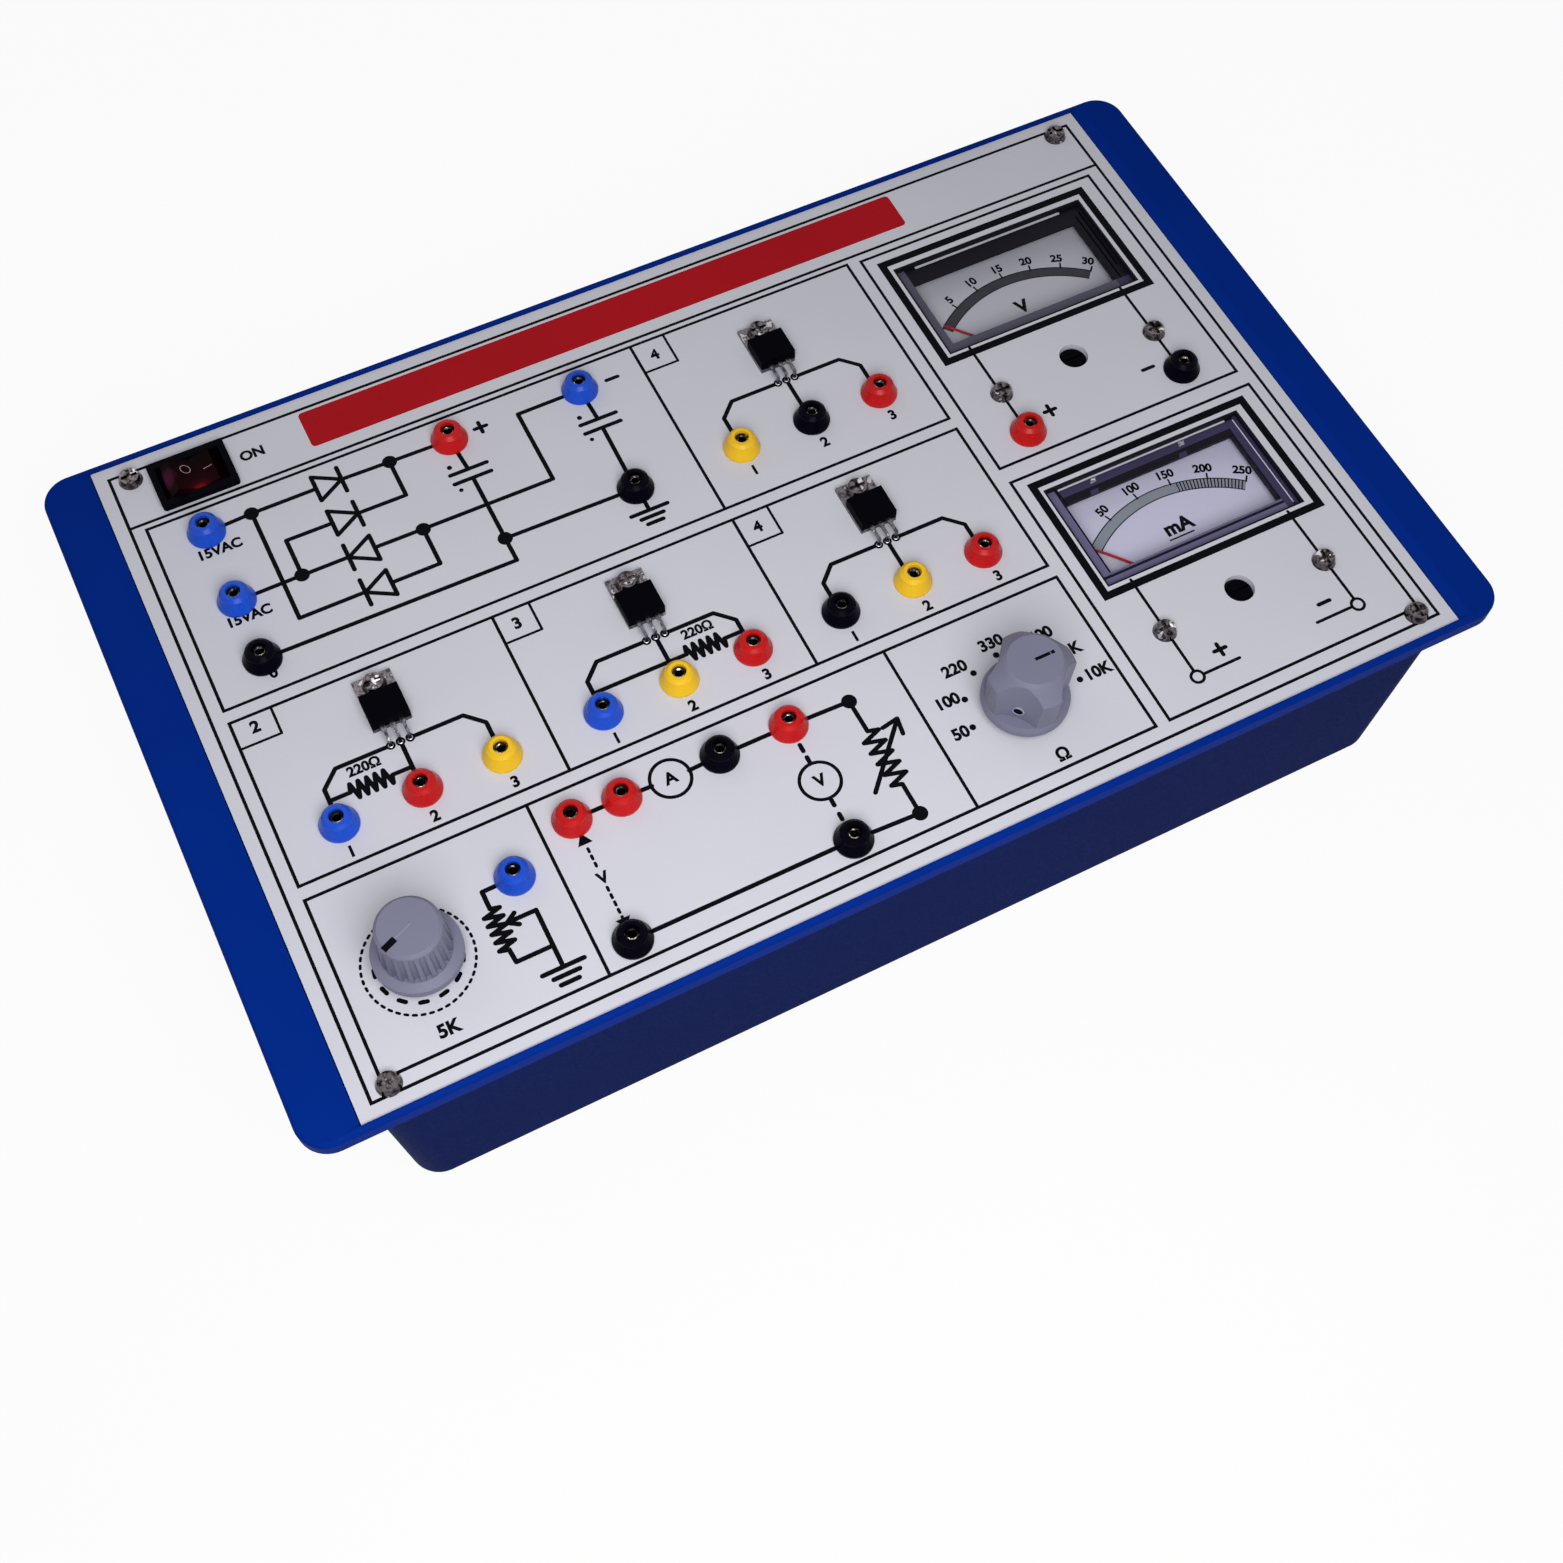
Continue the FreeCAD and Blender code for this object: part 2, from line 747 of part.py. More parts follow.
def drilled_nut(name, radius, height, hole):
    """A six-sided nut with its hole, standing on the origin."""
    return cut(name, hexagon(f"{name}_blank", radius, height),
               [rod(f"{name}_hole", hole, f"{height} + 2 * overrun", z="-overrun")])


def spread(name, model, places, z, turn=None):
    """A group of copies of one piece at several places on one level."""
    return group(name, [
        copy(f"{name}_{k}", model, x, y, z, turn) for k, (x, y) in enumerate(places)
    ])


def corners(x, y):
    """Four places, one in each quarter."""
    return [(f"{a}({x})", f"{b}({y})") for a in ("", "-") for b in ("", "-")]


def draw_rounded_rectangle(sketch, length, width, corner):
    """A rectangle about the origin with an arc at each corner."""
    far_x, far_y = f"({length}) / 2", f"({width}) / 2"
    flat_x, flat_y = f"({far_x} - ({corner}))", f"({far_y} - ({corner}))"
    sides = (
        ((f"-{flat_x}", f"-{far_y}"), (flat_x, f"-{far_y}")),
        ((far_x, f"-{flat_y}"), (far_x, flat_y)),
        ((flat_x, far_y), (f"-{flat_x}", far_y)),
        ((f"-{far_x}", flat_y), (f"-{far_x}", f"-{flat_y}")),
    )
    for k, side in enumerate(sides):
        ends = [FreeCAD.Vector(number(x), number(y), 0) for x, y in side]
        sketch.addGeometry(Part.LineSegment(*ends))
        for vertex, (x, y) in enumerate(side, 1):
            pin_down(sketch, k, vertex, x, y)
    radius = number(corner)
    count = len(sides)
    for k, (a, b) in enumerate((("", "-"), ("", ""), ("-", ""), ("-", "-"))):
        centre = FreeCAD.Vector(number(f"{a}{flat_x}"), number(f"{b}{flat_y}"), 0)
        start = radians(90 * (k - 1))
        arc = Part.ArcOfCircle(Part.Circle(centre, Z_AXIS, radius), start, start + radians(90))
        index = sketch.addGeometry(arc)
        sketch.addConstraint(Sketcher.Constraint("Coincident", k, 2, index, 1))
        sketch.addConstraint(Sketcher.Constraint("Coincident", index, 2, (k + 1) % count, 1))
        held = sketch.addConstraint(Sketcher.Constraint("Radius", index, radius))
        sketch.setExpression(f"Constraints[{held}]", formula(corner))


def tub_form(name, inset, bottom, top):
    """The tub's form from its floor past the neck to the rim, drawn in by an inset."""
    levels = (("floor", bottom), ("neck", "rim_top - box_neck_drop"),
              ("rim", "rim_top - box_rim_drop"), ("rim", top))
    sections = []
    for k, (end, level) in enumerate(levels):
        sketch = doc.addObject("Sketcher::SketchObject", f"{name}_{end}_{k}")
        draw_rounded_rectangle(sketch, f"box_{end}_length - 2 * {inset}",
                               f"box_{end}_width - 2 * {inset}", f"box_corner - {inset}")
        sections.append(put(sketch, z=level))
    form = doc.addObject("Part::Loft", name)
    form.Sections = sections
    form.Solid = True
    form.Ruled = True
    floor = number(f"{bottom} + fit_gap")
    return fillet(f"{name}_round", form, lambda edge: edge.BoundBox.ZMax < floor,
                  f"box_bottom_round - {inset}")


# Box base: drafted tub, flared rim, posts and pockets
def base_box():
    outer = tub_form("tub_outer", "0", "foot_height", "rim_top")
    space = tub_form("tub_inner", "box_wall", "floor_top", "rim_top + overrun")
    screw_posts = spread("cover_posts", rod("cover_post", "post_radius", "cover_boss_height"),
                         corners("corner_screw_x", "corner_screw_y"),
                         "rim_top - cover_boss_height")
    foot_posts = spread("foot_posts", rod("foot_post", "post_radius", "short_screw"),
                        corners("foot_x", "foot_y"), "floor_top")
    board_x, board_y = on_panel(BOARD_SHARE)
    board_posts = group("board_posts", [
        rod(f"board_post_{k}", "post_radius", "board_post_height", f"{board_x} + {x}",
            f"{board_y} + {y}", "floor_top") for k, (x, y) in enumerate(BOARD_CORNERS)
    ])
    strap_x, strap_y = on_panel(TRANSFORMER_SHARE)
    strap_posts = group("strap_posts", [
        rod(f"strap_post_{k}", "post_radius", "strap_post_height", f"{strap_x} {sign} post_x",
            strap_y, "floor_top") for k, sign in enumerate("-+")
    ])
    for name, posts in (("cover", screw_posts), ("foot", foot_posts), ("board", board_posts),
                        ("strap", strap_posts)):
        space = cut(f"space_round_{name}_posts", space, [posts])
    shell = cut("tub_shell", outer, [space])
    cover_holes = spread(
        "cover_holes", rod("cover_hole", "thread_radius + shaft_gap", "long_screw + overrun"),
        corners("corner_screw_x", "corner_screw_y"), "rim_top - long_screw")
    foot_holes = spread("foot_holes", rod("foot_hole", "thread_radius + shaft_gap",
                                          "box_wall + short_screw"),
                        corners("foot_x", "foot_y"), "foot_height - overrun")
    board_holes = group("board_holes", [
        rod(f"board_hole_{k}", "thread_radius + shaft_gap", "board_post_height + overrun",
            f"{board_x} + {x}", f"{board_y} + {y}", "floor_top")
        for k, (x, y) in enumerate(BOARD_CORNERS)
    ])
    strap_holes = group("strap_holes", [
        rod(f"strap_hole_{k}", "thread_radius + shaft_gap", "strap_post_height + overrun",
            f"{strap_x} {sign} post_x", strap_y, "floor_top") for k, sign in enumerate("-+")
    ])
    inlet_hole = block("inlet_hole", "inlet_body_length + 2 * fit_gap",
                       "2 * box_wall + 4 * overrun", "inlet_body_height + 2 * fit_gap",
                       f"panel_length * ({INLET_SHARE})", "inlet_seat - box_wall",
                       "inlet_level - inlet_body_height / 2 - fit_gap")
    holes = [cover_holes, foot_holes, board_holes, strap_holes, inlet_hole]
    for k, hole in enumerate(holes):
        shell = cut(f"tub_cut_{k}", shell, [hole])
    node("base_box", shell)


# Top cover: rounded frame with a seat for the panel and hollow side flanges
def top_cover():
    body = doc.addObject("PartDesign::Body", "cover_body")
    outline = new_sketch(body, "cover_outline", level="rim_top")
    draw_rectangle(outline, "cover_length", "cover_width")
    pad(body, "cover_pad", outline, "panel_top + cover_rise - rim_top")
    round_edges(body, "cover_corners", upright, "cover_corner")
    top = number("panel_top + cover_rise - cover_round")
    round_edges(body, "cover_edge", lambda edge: edge.BoundBox.ZMin > top, "cover_round")
    seat = new_sketch(body, "panel_seat", level="panel_top + cover_rise")
    draw_rectangle(seat, "panel_length + 2 * panel_gap_x", "panel_width + 2 * panel_gap_y")
    pocket(body, "panel_seat_pocket", seat, "panel_thickness + cover_rise")
    lip = number("panel_length / 2 + panel_gap_x + fit_gap")
    slope_edges(body, "cover_lip",
                lambda edge: (edge.BoundBox.ZMin > top and edge.BoundBox.XMax < lip
                              and edge.BoundBox.XMin > -lip
                              and edge.BoundBox.YLength > edge.BoundBox.XLength),
                "cover_lip_width", "cover_rise")
    mouth = new_sketch(body, "cover_mouth", level="panel_bottom")
    draw_rectangle(mouth, "2 * mouth_x", "2 * mouth_y")
    pocket(body, "cover_mouth_pocket", mouth)
    holes = new_sketch(body, "cover_screw_holes", level="panel_bottom")
    for x, y in corners("corner_screw_x", "corner_screw_y"):
        draw_circle(holes, x, y, "screw_hole_radius")
    pocket(body, "cover_screw_pocket", holes)
    reach = "cover_length / 2 - cover_skirt"
    inside = "panel_length / 2 + panel_gap_x + cover_skirt"
    hollows = [
        block(f"flange_hollow_{k}", f"{reach} - ({inside})", "cover_width - 4 * cover_corner",
              "ledge_thickness + overrun", f"{sign}({reach} + {inside}) / 2", z="rim_top - overrun")
        for k, sign in enumerate(("", "-"))
    ]
    node("top_cover", cut("cover_hollowed", body, hollows))


# Front panel with every opening in it
def front_panel():
    body = doc.addObject("PartDesign::Body", "panel_body")
    outline = new_sketch(body, "panel_outline", level="panel_bottom")
    draw_rectangle(outline, "panel_length", "panel_width")
    pad(body, "panel_pad", outline, "panel_thickness")
    windows = new_sketch(body, "panel_windows", level="panel_top")
    draw_rectangle(windows, "switch_body_length + fit_gap", "switch_body_width + fit_gap",
                   *on_panel(SWITCH_SHARE))
    for share in METER_SHARES.values():
        draw_rectangle(windows, "meter_window_length", "meter_window_width", *on_panel(share))
    pocket(body, "panel_window_pocket", windows)
    rounds = new_sketch(body, "panel_rounds", level="panel_top")
    for places in SOCKET_SHARES.values():
        for share in places:
            draw_circle(rounds, *on_panel(share), "socket_neck_radius + hole_gap")
    draw_circle(rounds, *on_panel(POT_SHARE), "pot_bush_radius + hole_gap")
    draw_circle(rounds, *on_panel(LOAD_SHARE), "load_bush_radius + hole_gap")
    for x, y in corners("corner_screw_x", "corner_screw_y"):
        draw_circle(rounds, x, y, "screw_hole_radius")
    for share in METER_SHARES.values():
        x, y = on_panel(share)
        draw_circle(rounds, x, f"{y} - meter_pivot_drop", "zero_hole_radius")
        for sign in "-+":
            draw_circle(rounds, f"{x} {sign} meter_screw_spacing / 2",
                        f"{y} - meter_screw_drop", "screw_hole_radius")
    for share in REGULATOR_SHARES:
        x, y = on_panel(share)
        draw_circle(rounds, x, f"{y} + tab_screw", "screw_hole_radius")
        for pitch in ("-lead_pitch", "", "+lead_pitch"):
            draw_circle(rounds, f"{x} {pitch}", y, "lead_hole_radius")
    pocket(body, "panel_round_pocket", rounds)
    node("front_panel", body)


# Screws that hold the panel and the cover down, and the feet with theirs
def fastening():
    places = corners("corner_screw_x", "corner_screw_y")
    node("panel_screws", spread("panel_screw_set", pan_screw("long_screw_model", "long_screw"),
                                places, "panel_top"))
    foot = cone("foot_blank", "foot_radius - foot_draft", "foot_radius", "foot_height")
    sink = rod("foot_sink", "screw_head_radius + fit_gap", "foot_height / 2 + foot_draft + overrun",
               z="-overrun")
    bore = rod("foot_bore", "screw_hole_radius", "foot_height + 2 * overrun", z="-overrun")
    foot = cut("foot_model", foot, [join("foot_tools", [sink, bore])])
    spots = corners("foot_x", "foot_y")
    node("rubber_feet", spread("feet", foot, spots, "0"))
    node("foot_screws", spread("foot_screw_set", pan_screw("foot_screw_model", "short_screw"),
                               spots, "foot_height / 2 + foot_draft", (X_AXIS, 180)))


# Rocker switch, tilted to the side that is pressed in
def rocker_switch():
    x, y = on_panel(SWITCH_SHARE)
    rim = slab("switch_bezel", "switch_length", "switch_width", "switch_rim", "switch_corner",
               z="panel_top")
    body = block("switch_body", "switch_body_length", "switch_body_width", "switch_depth",
                 z="panel_top - switch_depth")
    well = block("switch_well", "switch_well_length", "switch_well_width",
                 "switch_depth + switch_rim", z="switch_floor_top")
    pins = rod("switch_pin_holes", "rocker_pin_radius + 2 * shaft_gap",
               "switch_body_width - 2 * hole_gap", y="-switch_body_width / 2 + hole_gap",
               z="pivot_level", along="Y")
    slots = [
        block(f"blade_slot_{k}", "blade_thickness + 2 * shaft_gap", "blade_width + 2 * shaft_gap",
              "switch_floor + 2 * overrun", f"{k} * blade_spacing",
              z="panel_top - switch_depth - overrun") for k in (-1, 0, 1)
    ]
    clips = [
        block(f"switch_clip_{k}", "switch_corner", "switch_body_width / 2", "switch_rim",
              f"{sign}(switch_body_length / 2 + hole_gap)", z="panel_bottom - switch_rim - hole_gap")
        for k, sign in enumerate(("", "-"))
    ]
    shell = cut("switch_shell", join("switch_blank", [rim, body, *clips]), [well, pins, *slots])
    node("rocker_housing", put(shell, x, y))
    profile = doc.addObject("PartDesign::Body", "rocker_body")
    sketch = new_sketch(profile, "rocker_profile", "XZ_Plane", "-rocker_width / 2")
    half = "rocker_length / 2"
    draw_outline(sketch, (
        (f"rocker_end_run - {half}", "rocker_end_height"), (f"-{half}", "rocker_end_low"),
        (f"-{half}", "rocker_shoulder"), ("-rocker_foot_half", "-rocker_foot_drop"),
        ("rocker_foot_half", "-rocker_foot_drop"), (half, "rocker_shoulder"),
        (half, "rocker_end_low"), (f"{half} - rocker_end_run", "rocker_end_height"),
        ("0", "rocker_middle_height"),
    ))
    pad(profile, "rocker_pad", sketch, "rocker_width")
    axle = rod("rocker_axle", "rocker_pin_radius", "2 * rocker_pin_reach", y="-rocker_pin_reach",
               along="Y")
    rocker = join("rocker_whole", [profile, axle])
    node("rocker_button", put(rocker, x, y, "pivot_level", (Y_AXIS, ROCKER_TILT)))
    blades = [
        block(f"switch_blade_{k}", "blade_thickness", "blade_width",
              "blade_length + switch_floor + overrun", f"{k} * blade_spacing",
              z="panel_top - switch_depth - blade_length") for k in (-1, 0, 1)
    ]
    node("rocker_terminals", put(group("switch_blades", blades), x, y))
    lamp = rod("switch_lamp_bulb", "lamp_radius", "lamp_length", x="-lamp_length / 2",
               y="-lamp_radius - blade_width / 2 - hole_gap", z="switch_floor_top + lamp_radius",
               along="X")
    node("rocker_lamp", put(group("switch_lamp", [lamp]), x, y))


# Sockets: coloured heads, brass contacts and their nuts
def sockets():
    head = turned_body("socket_head", (
        ("socket_core_radius", "-socket_neck_length"),
        ("socket_neck_radius", "-socket_neck_length"),
        ("socket_neck_radius", "0"),
        ("socket_base_radius", "0"),
        ("socket_base_radius", "socket_collar"),
        ("socket_top_radius", "socket_flare"),
        ("socket_top_radius", "socket_height - socket_edge"),
        ("socket_top_radius - socket_edge", "socket_height"),
        ("socket_core_radius", "socket_height"),
    ))
    sleeve = turned_body("contact_sleeve", (
        ("contact_bore_radius", "socket_bore_bottom"),
        ("contact_bore_radius", "socket_height - contact_sink - contact_mouth_depth"),
        ("contact_mouth_radius", "socket_height - contact_sink"),
        ("contact_radius", "socket_height - contact_sink"),
        ("contact_radius", "-contact_depth"),
        ("0", "-contact_depth"),
        ("0", "contact_plug - contact_depth"),
        ("contact_relief_radius", "contact_plug - contact_depth"),
        ("contact_relief_radius", "socket_bore_bottom"),
    ))
    tag = block("contact_tag", "tag_width", "tag_thickness", "tag_length + contact_plug / 2",
                z="-contact_depth - tag_length")
    contact = join("socket_contact", [sleeve, tag])
    nut = drilled_nut("socket_nut", "socket_nut_radius", "socket_nut_height",
                      "socket_neck_radius + shaft_gap")
    everywhere = []
    for name, shares in SOCKET_SHARES.items():
        places = [on_panel(share) for share in shares]
        everywhere += places
        node(name, spread(f"{name}_set", head, places, "panel_top"))
    node("socket_contacts", spread("contact_set", contact, everywhere, "panel_top"))
    node("socket_nuts", spread("socket_nut_set", nut, everywhere,
                               "panel_bottom - socket_nut_height"))


# Regulators lying on the panel: packages, tabs, leads, screws and nuts
def regulators():
    places = [on_panel(share) for share in REGULATOR_SHARES]
    body = block("package_block", "tab_width", "package_length", "package_thickness",
                 y="tab_front + package_length / 2", z="tab_thickness")
    node("regulator_bodies", spread("packages", body, places, "panel_top"))
    plate = block("tab_plate", "tab_width", "tab_length", "tab_thickness",
                  y="tab_front + tab_length / 2")
    tab = cut("tab_model", plate, [rod("tab_hole", "screw_hole_radius",
                                       "tab_thickness + 2 * overrun", y="tab_screw",
                                       z="-overrun")])
    node("regulator_tabs", spread("tabs", tab, places, "panel_top"))
    run = block("lead_run", "lead_width", "lead_reach + lead_thickness / 2", "lead_thickness",
                y="(lead_reach - lead_thickness / 2) / 2", z="lead_level")
    shoulder = block("lead_shoulder", "lead_shoulder_width", "lead_shoulder_length",
                     "lead_thickness", y="lead_reach - lead_shoulder_length / 2", z="lead_level")
    drop = block("lead_drop", "lead_width", "lead_thickness",
                 "lead_level + panel_thickness + lead_tail + lead_thickness",
                 z="-panel_thickness - lead_tail")
    lead = join("lead_model", [run, shoulder, drop])
    ends = [
        (f"{x} {pitch}", y) for x, y in places for pitch in ("-lead_pitch", "", "+lead_pitch")
    ]
    node("regulator_leads", spread("leads", lead, ends, "panel_top"))
    screws = [(x, f"{y} + tab_screw") for x, y in places]
    node("regulator_screws", spread("regulator_screw_set",
                                    pan_screw("regulator_screw_model", "short_screw"), screws,
                                    "panel_top + tab_thickness"))
    nut = drilled_nut("small_nut", "nut_radius", "nut_height", "thread_radius + shaft_gap")
    node("regulator_nuts", spread("regulator_nut_set", nut, screws, "panel_bottom - nut_height"))


def bush_hole(name, bottom, top):
    """The bore that a knob's shaft runs in."""
    return rod(name, "shaft_radius + shaft_gap", f"{top} - ({bottom}) + 2 * overrun",
               z=f"{bottom} - overrun")


def index_line(name, start, length, width, top, angle):
    """A shallow groove in a knob's top for its index line."""
    bar = block(name, length, width, "pointer_depth + overrun", f"{start} + ({length}) / 2",
                z=f"{top} - pointer_depth")
    return copy(f"{name}_turned", bar, turn=(Z_AXIS, angle))


def grub(name, radius, start, length, angle):
    """A round bar that points outwards at the height of the grub screw."""
    bar = rod(name, radius, length, x=start, z="grub_level", along="X")
    return copy(f"{name}_turned", bar, turn=(Z_AXIS, angle))


def finish_knob(kind, blank, tools, x, y):
    """Bores a knob for its shaft and its grub screw, and makes that screw."""
    angle = GRUB_ANGLES[kind]
    bottom = f"{kind}_knob_bottom"
    bore = bush_hole(f"{kind}_knob_bore", "0", f"{kind}_knob_height - knob_cap - overrun")
    hole = grub(f"{kind}_grub_hole", "grub_radius + shaft_gap", "0", f"{kind}_skirt_radius", angle)
    knob = cut(f"{kind}_knob_cut", blank, [*tools, bore, hole])
    node(f"{kind}_knob", put(knob, x, y, bottom))
    screw = grub(f"{kind}_grub", "grub_radius", "shaft_radius + shaft_gap", "grub_length", angle)
    node(f"{kind}_set_screw", put(group(f"{kind}_grub_screw", [screw]), x, y, bottom))


# Potentiometer with its track, tags, wiper, shaft and knob
def potentiometer():
    x, y = on_panel(POT_SHARE)
    can = rod("pot_can", "pot_radius", "pot_depth", z="pot_bottom")
    bush = rod("pot_bush", "pot_bush_radius", "panel_thickness + pot_bush_rise", z="panel_bottom")
    hollow = rod("pot_hollow", "pot_radius - pot_wall", "pot_depth - 2 * pot_wall",
                 z="pot_bottom + pot_wall")
    notch = block("pot_notch", "3 * pot_tag_spacing", "pot_radius", "track_height",
                  y="pot_radius", z="pot_bottom + pot_wall")
    hole = bush_hole("pot_bush_hole", "panel_bottom - pot_wall", "panel_top + pot_bush_rise")
    case = cut("pot_case_cut", join("pot_case_blank", [can, bush]), [hollow, notch, hole])
    node("pot_case", put(case, x, y))
    ring = cut("track_ring", rod("track_outer", "track_outer_radius", "track_height"), [
        rod("track_inner", "track_inner_radius", "track_height + 2 * overrun", z="-overrun"),
        block("track_break", "track_gap_width", "pot_radius", "track_height + 2 * overrun",
              y="-pot_radius / 2", z="-overrun"),
    ])
    node("pot_track", put(ring, x, y, "pot_bottom + pot_wall"))
    tags = [
        block(f"pot_tag_{k}", "tag_width", "pot_tag_length", "tag_thickness",
              f"{k} * pot_tag_spacing", "track_outer_radius + pot_tag_length / 2",
              "pot_bottom + pot_wall") for k in (-1, 0, 1)
    ]
    node("pot_tags", put(group("pot_tag_set", tags), x, y))
    node("pot_nut", put(drilled_nut("pot_nut_model", "pot_nut_radius", "pot_nut_height",
                                    "pot_bush_radius + shaft_gap"), x, y, "panel_top"))
    low = "pot_bottom + pot_wall + track_height + wiper_gap"
    stem = rod("pot_stem", "shaft_radius",
               f"pot_knob_bottom + pot_knob_height - knob_cap - fit_gap - ({low})", z=low)
    collar = rod("pot_collar", "collar_radius", "collar_height",
                 z="panel_bottom - pot_wall - collar_gap - collar_height")
    arm = block("wiper_arm", "track_outer_radius", "wiper_width", "wiper_thickness",
                "track_outer_radius / 2", z=low)
    wiper = copy("wiper_arm_turned", arm, turn=(Z_AXIS, POT_POINTER_ANGLE))
    node("pot_shaft", put(join("pot_shaft_whole", [stem, collar, wiper]), x, y))
    blank = turned_body("pot_knob_blank", (
        ("0", "0"),
        ("pot_skirt_radius", "0"),
        ("pot_skirt_radius", "pot_skirt_height"),
        ("pot_grip_radius", "pot_skirt_height + knob_edge"),
        ("pot_crown_radius", "pot_knob_height - knob_edge"),
        ("pot_crown_radius - knob_edge", "pot_knob_height"),
        ("0", "pot_knob_height"),
    ))
    flute = rod("pot_flute", "pot_flute_radius",
                "pot_knob_height - pot_skirt_height - 3 * knob_edge",
                "pot_crown_radius + pot_flute_radius / 2", z="pot_skirt_height + knob_edge")
    line = index_line("pot_pointer", "pot_pointer_start", "pot_pointer_length",
                      "pot_pointer_width", "pot_knob_height", POT_POINTER_ANGLE)
    finish_knob("pot", blank, [ring_of("pot_flutes", flute, POT_FLUTES), line], x, y)


# Load selector with its contact pins, rotor, shaft, resistors, board and knob
def load_selector():
    x, y = on_panel(LOAD_SHARE)
    can = rod("load_can", "load_radius", "load_depth", z="load_bottom")
    bush = rod("load_bush", "load_bush_radius", "panel_thickness + load_bush_rise",
               z="panel_bottom")
    hollow = rod("load_hollow", "load_radius - load_wall", "load_depth - 2 * load_wall",
                 z="load_bottom + load_wall")
    hole = bush_hole("load_bush_hole", "panel_bottom - load_wall", "panel_top + load_bush_rise")
    places = [
        (f"load_tag_circle * cos({k * LOAD_STEP})", f"load_tag_circle * sin({k * LOAD_STEP})")
        for k in range(LOAD_POSITIONS)
    ]
    feeds = [*places, ("0", "-load_tag_circle")]
    tag_hole = rod("load_tag_hole", "load_tag_radius + shaft_gap", "load_wall + 2 * overrun")
    floor_holes = spread("load_tag_holes", tag_hole, feeds, "load_bottom - overrun")
    case = cut("load_case_cut", join("load_case_blank", [can, bush]), [hollow, floor_holes, hole])
    node("load_switch_case", put(case, x, y))
    tag = rod("load_tag", "load_tag_radius", "load_tag_length")
    node("load_switch_tags", put(spread("load_tag_set", tag, feeds, "tag_bottom"), x, y))
    node("load_switch_nut", put(drilled_nut("load_nut_model", "load_nut_radius",
                                            "load_nut_height", "load_bush_radius + shaft_gap"),
                                x, y, "panel_top"))
    low = "load_bottom + load_wall + load_tag_rise + rotor_gap"
    stem = rod("load_stem", "shaft_radius",
               f"load_knob_bottom + load_knob_height - knob_cap - fit_gap - ({low})", z=low)
    rotor = rod("load_rotor", "rotor_radius", "rotor_height", z=low)
    arm = block("load_rotor_arm", "rotor_arm", "rotor_arm_width", "rotor_height / 2",
                "rotor_arm / 2", z=low)
    collar = rod("load_collar", "collar_radius", "collar_height",
                 z="panel_bottom - load_wall - collar_gap - collar_height")
    node("load_shaft", put(join("load_shaft_whole", [stem, rotor, arm, collar]), x, y))
    board = rod("load_board_disc", "load_board_radius", "load_board_thickness")
    drill = rod("load_board_drill", "resistor_lead_radius + shaft_gap",
                "load_board_thickness + 2 * overrun")
    board = cut("load_board_drilled", board, [spread("load_board_holes", drill, places,
                                                     "-overrun")])
    node("load_board", put(board, x, y, "load_board_top - load_board_thickness"))
    upper = rod("resistor_body", "resistor_radius", "resistor_length",
                z="resistor_lead_length")
    wire = rod("resistor_wire", "resistor_lead_radius",
               "resistor_span + load_board_thickness + overrun",
               z="-load_board_thickness - overrun")
    part = join("resistor_model", [upper, wire])
    loads = [
        copy(f"load_resistor_{k}", part, f"{x} + {a}", f"{y} + {b}", "load_board_top")
        for k, (a, b) in enumerate(places)
    ]
    bridges = [
        sense_resistor(k, SOCKET_SHARES[left][a], SOCKET_SHARES[right][b])
        for k, (left, a, right, b) in enumerate(SENSE_PAIRS)
    ]
    node("fixed_resistors", group("resistor_set", loads + bridges))
    blank = turned_body("load_knob_blank", (
        ("0", "0"),
        ("load_skirt_radius", "0"),
        ("load_skirt_radius", "load_skirt_height"),
        ("load_dome_radius", "load_dome_height"),
        ("load_grip_radius", "load_waist_height"),
        ("load_crown_radius + knob_edge", "load_knob_height - knob_edge"),
        ("load_crown_radius", "load_knob_height"),
        ("0", "load_knob_height"),
    ))
    scallop = rod("load_scallop", "load_scallop_radius", "load_knob_height",
                  "load_scallop_circle", z="load_dome_height")
    turned = copy("load_scallop_turned", scallop, turn=(Z_AXIS, LOAD_SCALLOP_ANGLE))
    line = index_line("load_pointer", "0", "load_pointer_length", "load_pointer_width",
                      "load_knob_height", 0)
    finish_knob("load", blank, [ring_of("load_scallops", turned, LOAD_SCALLOPS), line], x, y)


def sense_resistor(k, left, right):
    """A resistor strung beside the tags of two sockets behind the panel."""
    (start, y), (end, y) = on_panel(left), on_panel(right)
    level = "panel_top - contact_depth - tag_length / 2"
    wire = rod(f"sense_wire_{k}", "resistor_lead_radius", f"{end} - ({start})", start,
               f"{y} - sense_offset", level, "X")
    body = rod(f"sense_body_{k}", "resistor_radius", "resistor_length",
               f"({start} + {end} - resistor_length) / 2", f"{y} - sense_offset", level, "X")
    ends = [
        rod(f"sense_end_{k}_{side}", "resistor_lead_radius", "sense_offset - tag_thickness / 2",
            place, f"{y} - sense_offset", level, "Y") for side, place in enumerate((start, end))
    ]
    return join(f"sense_resistor_{k}", [wire, body, *ends])


